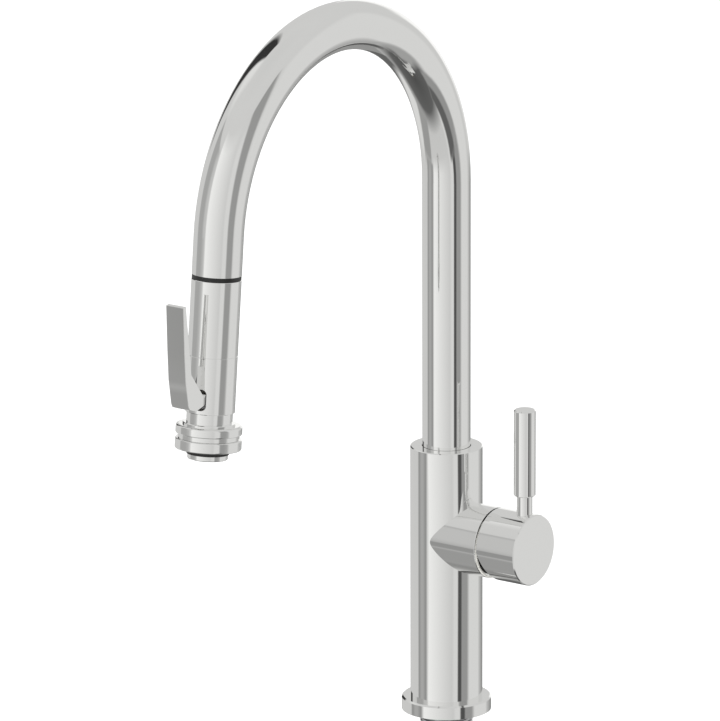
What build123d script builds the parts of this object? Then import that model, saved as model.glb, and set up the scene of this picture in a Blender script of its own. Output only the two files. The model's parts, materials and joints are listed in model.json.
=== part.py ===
from build123d import *
import math
import os

# Pull-down kitchen faucet, millimetres.
# +Z is up and z = 0 is the deck that the base flange stands on. The column stands on the
# Z axis, the spout reaches towards -Y and the mixing valve with its lever is on the +X side.

# ---- overall sizes ------------------------------------------------------------------
COLUMN_STEP = 7.5          # the column stands out from the spout tube all round
COLUMN_WALL = 2.5
COLUMN_TOP = 170.0         # height of the column's top edge
SPOUT_D = 30.0             # outside of the spout tube and of the spray head's shell
SPOUT_WALL = 1.5
ARCH_START = 340.0         # height at which the spout starts to bend
ARCH_RADIUS = 116.5        # centre line of the bend
ARCH_ANGLE = 174.6         # degrees of bend
SPOUT_END = 23.3           # straight tube after the bend
SPOUT_FOOT = 132.0         # height of the spout tube's lower end, inside the column

# ---- clearances ---------------------------------------------------------------------
FIT = 0.02                 # pieces pressed or screwed together
RUN = 0.06                 # pieces that turn or slide on each other
LOOSE = 0.3                # pieces that pass each other

# ---- small edges and modelling values ------------------------------------------------
EDGE = 0.3                 # chamfer on turned edges
TOP_EDGE = 0.5             # chamfer on the column's top edge
CUT_OVER = 2.0             # how far a cutting shape reaches past the piece
LARGE = 400.0              # larger than any piece that a block trims
TOUCH = 0.01               # two radii closer than this are the same

# ---- base and fixing ----------------------------------------------------------------
FLANGE_RIM = 5.5           # the flange stands out from the column
FLANGE_H = 8.5
FLANGE_EDGE = 1.0          # chamfer
GASKET_W = 4.0
GASKET_H = 1.6
SHANK_ROOM = 0.4           # between the water tubes and the shank, 33 mm for a 35 mm deck hole
SHANK_WALL = 1.7
SHANK_LENGTH = 62.0        # below the deck
SHANK_ENGAGED = 20.0       # screwed into the adapter
ADAPTER_H = 27.0
DECK_THICKNESS = 30.0      # sink deck that is clamped
WASHER_D = 56.0
RUBBER_WASHER_H = 3.0
STEEL_WASHER_H = 2.0
NUT_D = 54.0
NUT_H = 12.0
CLAMP_SCREWS = 3
CLAMP_SCREW_D = 5.0
CLAMP_SCREW_LENGTH = 24.0
CLAMP_HEAD_D = 8.0
CLAMP_HEAD_H = 3.5

# ---- water tubes --------------------------------------------------------------------
TUBE_D = 7.8
TUBE_WALL = 0.9
SOCKET_WALL = 0.3          # brass between the hose's passage and the tubes
INLET_ANGLE = 52.0         # degrees of the hot and cold tubes from the valve side
INLET_RISE = -3.0          # their ports below the valve's axis
OUTLET_RISE = 6.0
INLET_DROP = 22.0          # the inlets reach this much lower than the outlet
TUBE_SOCKET = 8.0          # depth of the tubes in the valve block
PORT_D = 4.0
NIPPLE_D = 10.0            # threaded ends
NIPPLE_LENGTH = 14.0
NIPPLE_TOP = -68.0
HOSE_D = 11.0
HOSE_WALL = 2.3
HOSE_ROOM = 0.8            # between the hose and its passage through the valve block
HOSE_NIPPLE_D = 10.6

# ---- mixing valve -------------------------------------------------------------------
VALVE_HEIGHT = 113.0
BOSS_D = 44.5              # outside of the side boss and of the handle cap
BOSS_FACE = 37.0           # distance of the boss's face from the column's axis
BLOCK_WALL = 3.0           # brass around the cartridge bore
BLOCK_BACK = -2.0          # the valve block starts this far behind the column's axis
CARTRIDGE_D = 25.9
CARTRIDGE_FLOOR = 15.0     # distance of the cartridge bore's floor from the column's axis
VALVE_GASKET_H = 1.0
FIXED_DISC_H = 3.0
MOVING_DISC_D = 14.4
MOVING_DISC_H = 3.5
MIXING_WAY_D = 6.4         # hollow in the moving disc's face that joins the ports
MIXING_WAY_RISE = 1.5
MIXING_WAY_DEPTH = 1.5
DRIVER_H = 4.5
HOUSING_WALL = 1.7
HOUSING_TOP = 40.0
HOUSING_LIP = 1.0          # thickness of the lip that holds the carrier
HOUSING_SHOULDER = 0.95    # the housing narrows here, under the nut
NECK_START = 34.0
CARRIER_START = 28.2
CARRIER_NOSE_D = 18.8
CARRIER_NOSE = 42.0
CARRIER_SLOT_H = 13.6
NUT_TOP = 41.5             # end of the cartridge nut
NUT_NOTCH = 3.0            # width of the nut's spanner notches
SEAM_WASHER_H = 0.6
SEAM_WASHER_INSET = 2.4    # the washer stops short of the boss's outside
TILT_PIVOT = 36.0          # distance of the lever's tilt axis from the column's axis
TILT_MAX = 20.0            # degrees from shut to full flow
PIVOT_PIN_D = 3.2
PIVOT_PIN_INSET = 0.8      # each end stops short of the carrier's outside
STEM_D = 6.4
STEM_TIP = 25.0
STEM_BALL_D = 4.8
STEM_NECK_D = 3.6          # behind the ball, inside the driver's pocket
STEM_NECK_END = 28.4
STEM_HEAD_D = 8.0
STEM_END = 60.0

# ---- handle -------------------------------------------------------------------------
SEAM_GAP = 1.2             # between the boss's face and the handle cap
CAP_WALL = 2.5
CAP_END_WALL = 3.0
CAP_END = 66.5             # distance of the cap's flat end from the column's axis
CAP_EDGE = 0.6
HUB_D = 17.0
HUB_START = 47.0
LEVER_X = 59.3
LEVER_STEM_D = 9.7
LEVER_STEM_TOP = 147.0
LEVER_ROD_D = 13.6
LEVER_ROD_TOP = 202.0
LEVER_EDGE = 0.8
STUD_D = 6.0
STUD_REACH = 9.0           # stud in the cap and in the rod
SET_SCREW_D = 5.0
SET_SCREW_LENGTH = 5.5
SET_SCREW_X = 53.0
SET_SCREW_SOCKET_D = 2.5

# ---- spout bearings -----------------------------------------------------------------
BUSH_WALL = 1.92
LIP_H = 3.0                # thickness of the column's top lip
LEDGE = 137.0              # height at which the wide bore ends
BUSH_H = 9.0
SEAL_D = 2.0
RETAINER_GAP = 1.0         # between the retainer and the column's bore
RETAINER_H = 3.0

# ---- dock and hose end, distances run along the spray head's axis from the bend's end
DOCK_RING_H = 2.7
DOCK_RING_INSET = 0.15
DOCK_GAP = 0.1             # between the black ring and the docked head
GUIDE_WALL = 2.4
GUIDE_DEPTH = 19.0
SPIGOT_WALL = 2.2
SPIGOT_REACH = 18.0
SPIGOT_FLANGE_H = 3.0
FERRULE_TOP = 3.0
FERRULE_END = 20.0
HOSE_SEAT = 12.0
FERRULE_WALL = 1.0
TAIL_D = 8.8
TAIL_FLANGE_D = 10.4
TAIL_FLANGE_H = 3.0
TAIL_BORE_D = 5.0
COUPLING_D = 16.4
COUPLING_TOP = 22.0
COUPLING_LIP = 26.8
COUPLING_END = 38.0
COUPLING_SEAL_H = 1.2

# ---- spray head ---------------------------------------------------------------------
SHELL_WALL = 1.6
SHELL_LIP = 2.2
SHELL_SPLIT = 72.0         # seam between the upper and the lower shell
SHELL_SEAM = 0.25
SHELL_END = 106.4
NECK_D = 27.7
NECK_WALL = 1.8
NECK_END = 112.8
STEP_D = 32.0
STEP_END = 114.0
RING_D = 40.0
UPPER_RING_END = 119.7
GROOVE_D = 37.0
LOWER_RING_TOP = 122.5
LOWER_RING_END = 129.0
RING_SHOULDER = 1.6
RING_EDGE = 0.8
NOZZLE_SEAL_D = 25.6
NOZZLE_SEAL_TOP = 127.5
NOZZLE_SEAL_END = 132.0
AERATOR_D = 24.4
AERATOR_TOP = 116.0
AERATOR_END = 135.1
AERATOR_WALL = 1.7
AERATOR_EDGE = 0.4
SPRAY_PLATE_TOP = 131.5
SPRAY_PLATE_END = 134.3
SPRAY_HOLE_D = 1.6
SPRAY_HOLE_ROWS = ((0.0, 1), (3.0, 6), (6.0, 12), (8.7, 18))
CORE_NOSE_D = 13.6
CORE_D = 16.0
CORE_BORE_D = 10.0
CORE_FLANGE_TOP = 39.0
CORE_FLANGE_H = 2.0
CORE_SPLIT = 87.0
CORE_LAP = 2.0             # the core's foot starts this much above the split
CORE_END = 104.0
CORE_FLAT = -1.5           # the core's lower half stops short of the lever's cam
CHECK_VALVE_TOP = 44.0
CHECK_VALVE_H = 10.0
CHECK_VALVE_BORE_D = 5.0
VALVE_BLOCK_H = 9.0
VALVE_BLOCK_GAP = 0.5      # below the core
WATERWAY_OFFSET = -5.5
WATERWAY_D = 6.0

# ---- squeeze lever, outlines are (out from the shell's surface, along the head) points -
LEVER_WIDTH = 13.0
LEVER_DEPTH = 3.5              # pivot below the shell's surface
LEVER_ALONG = 97.0             # pivot along the spray head
LEVER_SQUEEZE = 20.0           # degrees
LEVER_PIN_D = 2.0
LEVER_PIN_LENGTH = 15.6
LEVER_EYE_D = 7.6
BLADE_FRONT = ((25.2, 38.5), (21.8, 66.0), (19.2, 84.0), (15.4, 99.0), (14.0, 101.3))
BLADE_FOOT = ((7.5, 103.0), (-0.5, 100.3))
BLADE_BACK = ((-2.0, 97.5), (13.8, 80.0), (19.0, 54.8), (20.8, 46.8), (22.6, 37.8))
SLOT_TOP = 91.0
SLOT_END = 104.0
SLOT_CORNER = 3.0
CAM_REACH = 7.0
CAM_W = 5.0
CAM_D = 2.2
PLUNGER_D = 4.0
PLUNGER_HEAD_D = 6.0
PLUNGER_HEAD_H = 1.5
PLUNGER_END = 112.0
SPRING_WALL = 1.1

# ---- worked-out values --------------------------------------------------------------
spout_r = SPOUT_D / 2
column_r = spout_r + COLUMN_STEP
column_bore_r = column_r - COLUMN_WALL
spout_bore_r = spout_r - SPOUT_WALL
tube_r = TUBE_D / 2
tube_bore_r = tube_r - TUBE_WALL
hose_r = HOSE_D / 2
hose_bore_r = hose_r - HOSE_WALL
bearing_r = spout_r + RUN + BUSH_WALL + FIT
flange_r = column_r + FLANGE_RIM
hose_passage_r = hose_r + HOSE_ROOM
tube_circle = hose_passage_r + SOCKET_WALL + tube_r
shank_bore_r = tube_circle + tube_r + SHANK_ROOM
shank_r = shank_bore_r + SHANK_WALL
boss_r = BOSS_D / 2
cartridge_r = CARTRIDGE_D / 2
cartridge_bore_r = cartridge_r + RUN
housing_bore_r = cartridge_r - HOUSING_WALL
housing_neck_r = cartridge_r - HOUSING_SHOULDER
housing_lip_low = HOUSING_TOP - HOUSING_LIP
block_half = cartridge_bore_r + BLOCK_WALL
cap_start = BOSS_FACE + SEAM_GAP
rod_r = LEVER_ROD_D / 2
shell_bore_r = spout_r - SHELL_WALL
guide_r = spout_bore_r - FIT
guide_bore_r = guide_r - GUIDE_WALL
spigot_r = guide_bore_r - RUN
head_top = SPOUT_END + DOCK_RING_H
lever_half = LEVER_WIDTH / 2
slot_half = lever_half + LOOSE
neck_bore_r = NECK_D / 2 - NECK_WALL
aerator_r = AERATOR_D / 2
tail_face = COUPLING_LIP + RUN + TAIL_FLANGE_H
pivot_out = spout_r - LEVER_DEPTH
cam_axis = pivot_out - CAM_REACH
plunger_head_top = LEVER_ALONG + CAM_D / 2 + RUN
valve_block_top = CORE_END + VALVE_BLOCK_GAP

arch_angle = math.radians(ARCH_ANGLE)
bend_end = Vector(
    0.0,
    -ARCH_RADIUS * (1 - math.cos(arch_angle)),
    ARCH_START + ARCH_RADIUS * math.sin(arch_angle),
)
head_axis = Vector(0.0, -math.sin(arch_angle), math.cos(arch_angle))
HEAD = Plane(origin=bend_end, x_dir=(1, 0, 0), z_dir=head_axis)
VALVE = Plane(origin=(0, 0, VALVE_HEIGHT), x_dir=(0, 1, 0), z_dir=(1, 0, 0))

# Angle about the column, port height from the valve's axis, top of the threaded end.
tube_spots = {
    "hot": (INLET_ANGLE, INLET_RISE, NIPPLE_TOP - INLET_DROP),
    "cold": (-INLET_ANGLE, INLET_RISE, NIPPLE_TOP - INLET_DROP),
    "mixed": (0.0, OUTLET_RISE, NIPPLE_TOP),
}


def turned(*profile):
    """Solid turned about Z from (radius, height) points."""
    face = make_face(Plane.XZ * Polyline(*profile, close=True))
    return revolve(face, axis=Axis.Z)


def rod(radius, low, high):
    """Plain round bar between two heights."""
    return Pos(0, 0, low) * Cylinder(radius, high - low, align=(Align.CENTER, Align.CENTER, Align.MIN))


def ring(outer, inner, low, high):
    """Plain round tube between two heights."""
    return turned((inner, low), (outer, low), (outer, high), (inner, high))


def pin_bar(radius, low, high, edge):
    """Round bar with chamfered ends."""
    return turned(
        (0, low), (radius - edge, low), (radius, low + edge),
        (radius, high - edge), (radius - edge, high), (0, high),
    )


def tube_spot(name):
    """Place of a water tube beside the column's axis."""
    angle = math.radians(tube_spots[name][0])
    return tube_circle * math.cos(angle), tube_circle * math.sin(angle)


def hexagon(across_flats, low, high):
    """Hexagonal bar between two heights."""
    sketch = RegularPolygon(across_flats / 2, 6, major_radius=False)
    return Pos(0, 0, low) * extrude(sketch, high - low)


def centre_line(foot, reach):
    """Centre line of the spout: up, over the bend and on past its end."""
    centre = (0, -ARCH_RADIUS, ARCH_START)
    middle = arch_angle / 2
    top = (0, -ARCH_RADIUS * (1 - math.cos(middle)), ARCH_START + ARCH_RADIUS * math.sin(middle))
    rise = Line((0, 0, foot), (0, 0, ARCH_START))
    bend = ThreePointArc((0, centre[1] + ARCH_RADIUS, ARCH_START), top, bend_end)
    drop = Line(bend_end, bend_end + head_axis * reach)
    return Wire([rise.edge(), bend.edge(), drop.edge()])


def bent_bar(radius, foot, reach):
    """Round bar along the spout's centre line."""
    section = Plane(origin=(0, 0, foot), z_dir=(0, 0, 1)) * Circle(radius)
    return sweep(section, path=centre_line(foot, reach))


# ---- base ---------------------------------------------------------------------------
def base_flange():
    bore = column_bore_r + FIT
    return turned(
        (bore, GASKET_H), (column_r + FIT, GASKET_H), (column_r + FIT, 0), (flange_r, 0),
        (flange_r, FLANGE_H - FLANGE_EDGE), (flange_r - FLANGE_EDGE, FLANGE_H), (bore, FLANGE_H),
    )


def deck_gasket():
    return ring(column_r, column_r - GASKET_W, 0, GASKET_H)


def shank_adapter():
    outer = column_bore_r - FIT
    return turned(
        (shank_r + FIT, GASKET_H), (outer, GASKET_H), (outer, ADAPTER_H),
        (shank_bore_r, ADAPTER_H), (shank_bore_r, SHANK_ENGAGED), (shank_r + FIT, SHANK_ENGAGED),
    )


def threaded_shank():
    return ring(shank_r, shank_bore_r, -SHANK_LENGTH, SHANK_ENGAGED)


def rubber_washer():
    return ring(WASHER_D / 2, shank_r + LOOSE, -DECK_THICKNESS - RUBBER_WASHER_H, -DECK_THICKNESS)


def steel_washer():
    top = -DECK_THICKNESS - RUBBER_WASHER_H
    return ring(WASHER_D / 2, shank_r + LOOSE, top - STEEL_WASHER_H, top)


def clamp_spots():
    radius = (shank_r + NUT_D / 2) / 2
    return PolarLocations(radius, CLAMP_SCREWS, start_angle=90)


def mounting_nut():
    top = -DECK_THICKNESS - RUBBER_WASHER_H - STEEL_WASHER_H
    nut = hexagon(NUT_D, top - NUT_H, top) - rod(shank_r + FIT, top - NUT_H, top)
    holes = [spot * rod(CLAMP_SCREW_D / 2 + FIT, top - NUT_H, top) for spot in clamp_spots()]
    return nut - holes


def clamp_screws():
    top = -DECK_THICKNESS - RUBBER_WASHER_H - STEEL_WASHER_H
    low = top - CLAMP_SCREW_LENGTH
    screw = rod(CLAMP_SCREW_D / 2, low, top) + hexagon(CLAMP_HEAD_D, low - CLAMP_HEAD_H, low)
    return Compound([spot * screw for spot in clamp_spots()])


# ---- column -------------------------------------------------------------------------
def column_shell():
    lip_bore = spout_r + LOOSE
    return turned(
        (column_bore_r, FLANGE_H), (column_r, FLANGE_H), (column_r, COLUMN_TOP - TOP_EDGE),
        (column_r - TOP_EDGE, COLUMN_TOP), (lip_bore, COLUMN_TOP), (lip_bore, COLUMN_TOP - LIP_H),
        (bearing_r, COLUMN_TOP - LIP_H), (bearing_r, LEDGE), (column_bore_r, LEDGE),
    )


def water_ports():
    """Drilled ways from the tubes' sockets to the floor of the cartridge bore."""
    block_low = VALVE_HEIGHT - block_half
    ways = []
    for name, (_, rise, _) in tube_spots.items():
        x, y = tube_spot(name)
        height = VALVE_HEIGHT + rise
        ways.append(Pos(x, y, 0) * rod(tube_r + FIT, block_low, block_low + TUBE_SOCKET))
        ways.append(Pos(x, y, 0) * rod(PORT_D / 2, block_low, height))
        way = rod(PORT_D / 2, 0, CARTRIDGE_FLOOR - x + CUT_OVER)
        ways.append(Plane(origin=(x, y, height), z_dir=(1, 0, 0)) * way)
    return ways


def column_body():
    block_high = VALVE_HEIGHT + block_half
    block = rod(column_bore_r + COLUMN_WALL / 2, VALVE_HEIGHT - block_half, block_high)
    block &= Pos(BLOCK_BACK, 0, 0) * Box(LARGE, LARGE, LARGE, align=(Align.MIN, Align.CENTER, Align.CENTER))
    boss = VALVE * pin_bar(boss_r, 0, BOSS_FACE, EDGE)
    boss_low = VALVE_HEIGHT - boss_r - CUT_OVER
    boss -= rod(column_r - COLUMN_WALL / 2, boss_low, boss_low + 2 * (boss_r + CUT_OVER))
    body = column_shell() + block + boss
    body -= VALVE * rod(cartridge_bore_r, CARTRIDGE_FLOOR, BOSS_FACE)
    body -= rod(hose_passage_r, VALVE_HEIGHT - block_half, block_high)
    return body - water_ports()


def water_tube(name):
    x, y = tube_spot(name)
    top = VALVE_HEIGHT - block_half + TUBE_SOCKET
    return Pos(x, y, 0) * ring(tube_r, tube_bore_r, tube_spots[name][2] - NIPPLE_LENGTH / 2, top)


def water_nipple(name):
    x, y = tube_spot(name)
    high = tube_spots[name][2]
    low = high - NIPPLE_LENGTH
    return Pos(x, y, 0) * turned(
        (tube_bore_r, low), (NIPPLE_D / 2, low), (NIPPLE_D / 2, high), (tube_r + FIT, high),
        (tube_r + FIT, low + NIPPLE_LENGTH / 2), (tube_bore_r, low + NIPPLE_LENGTH / 2),
    )


def spout_bush(low):
    return ring(bearing_r - FIT, spout_r + RUN, low, low + BUSH_H)


def spout_seal():
    middle = COLUMN_TOP - LIP_H - SEAL_D / 2
    section_r = (bearing_r - spout_r - 2 * RUN) / 2
    circle = Plane.XZ * Pos(spout_r + RUN + section_r, middle) * Circle(min(section_r, SEAL_D / 2))
    return revolve(circle, axis=Axis.Z)


# ---- mixing valve -------------------------------------------------------------------
def port_holes(low, high):
    """Water holes through the gasket and the fixed disc, in the valve's own frame."""
    holes = []
    for name, (_, rise, _) in tube_spots.items():
        side = tube_spot(name)[1]
        holes.append(Pos(side, rise, 0) * rod(PORT_D / 2, low, high))
    return holes


def valve_gasket():
    low = CARTRIDGE_FLOOR
    high = low + VALVE_GASKET_H
    return VALVE * (rod(cartridge_r, low, high) - port_holes(low, high))


def fixed_disc():
    low = CARTRIDGE_FLOOR + VALVE_GASKET_H
    high = low + FIXED_DISC_H
    return VALVE * (rod(housing_bore_r - FIT, low, high) - port_holes(low, high))


def cartridge_housing():
    low = CARTRIDGE_FLOOR + VALVE_GASKET_H
    return VALVE * turned(
        (housing_bore_r, low), (cartridge_r, low), (cartridge_r, NECK_START), (housing_neck_r, NECK_START),
        (housing_neck_r, HOUSING_TOP), (CARRIER_NOSE_D / 2 + RUN, HOUSING_TOP),
        (CARRIER_NOSE_D / 2 + RUN, housing_lip_low), (housing_bore_r, housing_lip_low),
    )


def cartridge_nut():
    nut = ring(cartridge_r, housing_neck_r + RUN, NECK_START, NUT_TOP)
    notch = Pos(0, 0, NUT_TOP) * Box(CARTRIDGE_D + CUT_OVER, NUT_NOTCH, NUT_NOTCH)
    return VALVE * (nut - notch - Rot(0, 0, 90) * notch)


def seam_washer():
    return VALVE * ring(boss_r - SEAM_WASHER_INSET, cartridge_r + LOOSE, BOSS_FACE, BOSS_FACE + SEAM_WASHER_H)


def stem_slot(width, height, low, high):
    return Pos(0, 0, low) * Box(width, height, high - low, align=(Align.CENTER, Align.CENTER, Align.MIN))


def stem_carrier():
    outer = housing_bore_r - RUN
    shoulder = housing_lip_low - RUN
    body = turned(
        (0, CARRIER_START), (outer, CARRIER_START), (outer, shoulder), (CARRIER_NOSE_D / 2, shoulder),
        (CARRIER_NOSE_D / 2, CARRIER_NOSE), (0, CARRIER_NOSE),
    )
    body -= stem_slot(STEM_D + 2 * LOOSE, CARRIER_SLOT_H, CARRIER_START, CARRIER_NOSE)
    pin_hole = Pos(0, 0, TILT_PIVOT) * Rot(0, 90, 0) * Cylinder(PIVOT_PIN_D / 2 + FIT, CARTRIDGE_D)
    return VALVE * (body - pin_hole)


def pivot_pin():
    length = 2 * (housing_bore_r - RUN - PIVOT_PIN_INSET)
    return VALVE * (Pos(0, 0, TILT_PIVOT) * Rot(0, 90, 0) * Cylinder(PIVOT_PIN_D / 2, length))


def moving_disc():
    low = CARTRIDGE_FLOOR + VALVE_GASKET_H + FIXED_DISC_H
    way = Pos(0, MIXING_WAY_RISE, low) * Cylinder(MIXING_WAY_D / 2, 2 * MIXING_WAY_DEPTH)
    return VALVE * (rod(MOVING_DISC_D / 2, low, low + MOVING_DISC_H) - way)


def disc_driver():
    low = CARTRIDGE_FLOOR + VALVE_GASKET_H + FIXED_DISC_H + MOVING_DISC_H
    body = rod(MOVING_DISC_D / 2, low, low + DRIVER_H)
    pocket = stem_slot(STEM_BALL_D + 2 * LOOSE, STEM_BALL_D + 2 * LOOSE, low, low + DRIVER_H)
    return VALVE * (body - pocket)


def valve_stem():
    stem = rod(STEM_NECK_D / 2, STEM_TIP, STEM_NECK_END)
    stem += rod(STEM_D / 2, STEM_NECK_END, HUB_START)
    stem += rod(STEM_HEAD_D / 2, HUB_START, STEM_END)
    stem += Pos(0, 0, STEM_TIP) * Sphere(STEM_BALL_D / 2)
    stem -= Pos(0, 0, TILT_PIVOT) * Rot(0, 90, 0) * Cylinder(PIVOT_PIN_D / 2 + RUN, STEM_D + CUT_OVER)
    return VALVE * stem


# ---- handle -------------------------------------------------------------------------
def relief():
    """Wedge that the tilting cap needs below its pivot, in the valve's own frame."""
    tilt = math.radians(TILT_MAX)
    washer_face = BOSS_FACE + SEAM_WASHER_H + LOOSE
    start = TILT_PIVOT + (washer_face - TILT_PIVOT) / math.cos(tilt)
    drop = boss_r + CUT_OVER
    low = cap_start - CUT_OVER
    far = start + drop * math.tan(tilt)
    wedge = Plane.YZ * Polyline((0, start), (-drop, far), (-drop, low), (0, low), close=True)
    return Pos(-drop, 0, 0) * extrude(make_face(wedge), 2 * drop, dir=(1, 0, 0))


def handle_cap():
    inner = boss_r - CAP_WALL
    floor = CAP_END - CAP_END_WALL
    cap = turned(
        (inner, cap_start), (boss_r - EDGE, cap_start), (boss_r, cap_start + EDGE),
        (boss_r, CAP_END - CAP_EDGE), (boss_r - CAP_EDGE, CAP_END), (0, CAP_END), (0, floor), (inner, floor),
    )
    hub = rod(HUB_D / 2, HUB_START, floor + CAP_END_WALL / 2)
    pad = Pos(0, 0, LEVER_X) * Rot(-90, 0, 0) * rod(LEVER_STEM_D / 2, 0, boss_r - CAP_WALL / 2)
    cap = cap + hub + pad - relief()
    cap -= rod(STEM_HEAD_D / 2 + FIT, HUB_START, STEM_END + LOOSE)
    stud_hole = rod(STUD_D / 2 + FIT, boss_r - STUD_REACH - LOOSE, boss_r + CUT_OVER)
    cap -= Pos(0, 0, LEVER_X) * Rot(-90, 0, 0) * stud_hole
    cap -= Pos(0, 0, SET_SCREW_X) * Rot(90, 0, 0) * rod(SET_SCREW_D / 2 + FIT, 0, boss_r + CUT_OVER)
    return VALVE * cap


def lever_stem():
    top = LEVER_STEM_TOP
    foot = VALVE_HEIGHT + boss_r
    stem = rod(LEVER_STEM_D / 2, foot - CUT_OVER, top)
    stem -= Pos(-LEVER_X, 0, 0) * (VALVE * rod(boss_r + FIT, cap_start, CAP_END))
    stud = rod(STUD_D / 2, foot - STUD_REACH, top + STUD_REACH)
    return Pos(LEVER_X, 0, 0) * (stem + stud)


def lever_rod():
    bar = pin_bar(rod_r, LEVER_STEM_TOP, LEVER_ROD_TOP, LEVER_EDGE)
    stud_hole = rod(STUD_D / 2 + FIT, LEVER_STEM_TOP, LEVER_STEM_TOP + STUD_REACH + LOOSE)
    return Pos(LEVER_X, 0, 0) * (bar - stud_hole)


def set_screw():
    start = STEM_HEAD_D / 2 + FIT
    screw = rod(SET_SCREW_D / 2, start, start + SET_SCREW_LENGTH)
    screw -= hexagon(SET_SCREW_SOCKET_D, start + SET_SCREW_LENGTH / 2, start + SET_SCREW_LENGTH)
    return VALVE * (Pos(0, 0, SET_SCREW_X) * Rot(90, 0, 0) * screw)


# ---- spout --------------------------------------------------------------------------
def spout_tube():
    return bent_bar(spout_r, SPOUT_FOOT, SPOUT_END) - bent_bar(spout_bore_r, SPOUT_FOOT, SPOUT_END)


def spout_retainer():
    low = LEDGE - LOOSE - RETAINER_H
    return ring(column_bore_r - RETAINER_GAP, spout_r + FIT, low, low + RETAINER_H)


def docking_guide():
    top = SPOUT_END - GUIDE_DEPTH
    end = head_top - DOCK_GAP
    return HEAD * turned(
        (guide_bore_r, top), (guide_r, top), (guide_r, SPOUT_END),
        (spout_r - DOCK_RING_INSET, SPOUT_END), (spout_r - DOCK_RING_INSET, end), (guide_bore_r, end),
    )


def spray_hose():
    low = NIPPLE_TOP - NIPPLE_LENGTH / 2
    return bent_bar(hose_r, low, HOSE_SEAT) - bent_bar(hose_bore_r, low, HOSE_SEAT)


def hose_nipple():
    low = NIPPLE_TOP - NIPPLE_LENGTH
    seat = low + NIPPLE_LENGTH / 2 - LOOSE
    return turned(
        (hose_bore_r, low), (HOSE_NIPPLE_D / 2, low), (HOSE_NIPPLE_D / 2, seat), (hose_bore_r, seat),
    )


def hose_ferrule():
    outer = hose_r + FERRULE_WALL
    tail = TAIL_D / 2
    bore = TAIL_BORE_D / 2
    flange_low = tail_face - TAIL_FLANGE_H
    return HEAD * turned(
        (hose_r + FIT, FERRULE_TOP), (outer, FERRULE_TOP), (outer, FERRULE_END), (tail, FERRULE_END),
        (tail, flange_low), (TAIL_FLANGE_D / 2, flange_low), (TAIL_FLANGE_D / 2, tail_face),
        (bore, tail_face), (bore, HOSE_SEAT + FIT), (hose_r + FIT, HOSE_SEAT + FIT),
    )


# ---- spray head ---------------------------------------------------------------------
def hose_coupling():
    body = turned(
        (TAIL_D / 2 + RUN, COUPLING_TOP), (COUPLING_D / 2, COUPLING_TOP), (COUPLING_D / 2, COUPLING_END),
        (CORE_NOSE_D / 2 + FIT, COUPLING_END), (CORE_NOSE_D / 2 + FIT, tail_face + RUN),
        (TAIL_FLANGE_D / 2 + RUN, tail_face + RUN), (TAIL_FLANGE_D / 2 + RUN, COUPLING_LIP),
        (TAIL_D / 2 + RUN, COUPLING_LIP),
    )
    return HEAD * body


def coupling_seal():
    top = tail_face + RUN
    return HEAD * ring(TAIL_FLANGE_D / 2, TAIL_BORE_D / 2, top, top + COUPLING_SEAL_H)


def docking_spigot():
    top = head_top - SPIGOT_REACH
    flange_low = head_top + SHELL_LIP + FIT
    end = flange_low + SPIGOT_FLANGE_H
    return HEAD * turned(
        (spigot_r - SPIGOT_WALL, top), (spigot_r, top), (spigot_r, flange_low),
        (shell_bore_r - FIT, flange_low), (shell_bore_r - FIT, end), (spigot_r - SPIGOT_WALL, end),
    )


def lever_slot():
    """Way for the squeeze lever's foot through the lower shell, with round corners."""
    sketch = Plane.XZ * Pos(0, (SLOT_TOP + SLOT_END) / 2) * RectangleRounded(
        2 * slot_half, SLOT_END - SLOT_TOP, SLOT_CORNER
    )
    return extrude(sketch, SPOUT_D, dir=(0, 1, 0))


def at_pivot(bar):
    """Lay a bar that stands on Z along the squeeze lever's pivot."""
    return Pos(0, pivot_out, LEVER_ALONG) * Rot(0, 90, 0) * bar


def lever_pin_hole():
    return at_pivot(Cylinder(LEVER_PIN_D / 2 + FIT, LEVER_PIN_LENGTH))


def head_shell_upper():
    return HEAD * turned(
        (spigot_r + FIT, head_top), (spout_r - EDGE, head_top), (spout_r, head_top + EDGE),
        (spout_r, SHELL_SPLIT - SHELL_SEAM), (spout_r - SHELL_SEAM, SHELL_SPLIT), (shell_bore_r, SHELL_SPLIT),
        (shell_bore_r, head_top + SHELL_LIP), (spigot_r + FIT, head_top + SHELL_LIP),
    )


def head_shell_lower():
    shell = turned(
        (shell_bore_r, SHELL_SPLIT), (spout_r - SHELL_SEAM, SHELL_SPLIT), (spout_r, SHELL_SPLIT + SHELL_SEAM),
        (spout_r, SHELL_END - EDGE), (spout_r - EDGE, SHELL_END), (shell_bore_r, SHELL_END),
    )
    return HEAD * (shell - lever_slot() - lever_pin_hole())


def waterway_core():
    nose_top = tail_face + 2 * RUN + COUPLING_SEAL_H
    flange_end = CORE_FLANGE_TOP + CORE_FLANGE_H
    core = turned(
        (TAIL_BORE_D / 2, nose_top), (CORE_NOSE_D / 2, nose_top), (CORE_NOSE_D / 2, CORE_FLANGE_TOP),
        (shell_bore_r - FIT, CORE_FLANGE_TOP), (shell_bore_r - FIT, flange_end), (CORE_D / 2, flange_end),
        (CORE_D / 2, CORE_SPLIT), (CORE_BORE_D / 2, CORE_SPLIT), (CORE_BORE_D / 2, CHECK_VALVE_TOP),
        (TAIL_BORE_D / 2, CHECK_VALVE_TOP),
    )
    foot = rod(shell_bore_r - FIT, CORE_SPLIT - CORE_LAP, CORE_END)
    foot &= Pos(0, CORE_FLAT, 0) * Box(LARGE, LARGE, LARGE, align=(Align.CENTER, Align.MAX, Align.CENTER))
    foot -= Pos(0, WATERWAY_OFFSET, 0) * rod(WATERWAY_D / 2, CORE_SPLIT - CORE_LAP, CORE_END)
    return HEAD * (core + foot)


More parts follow.
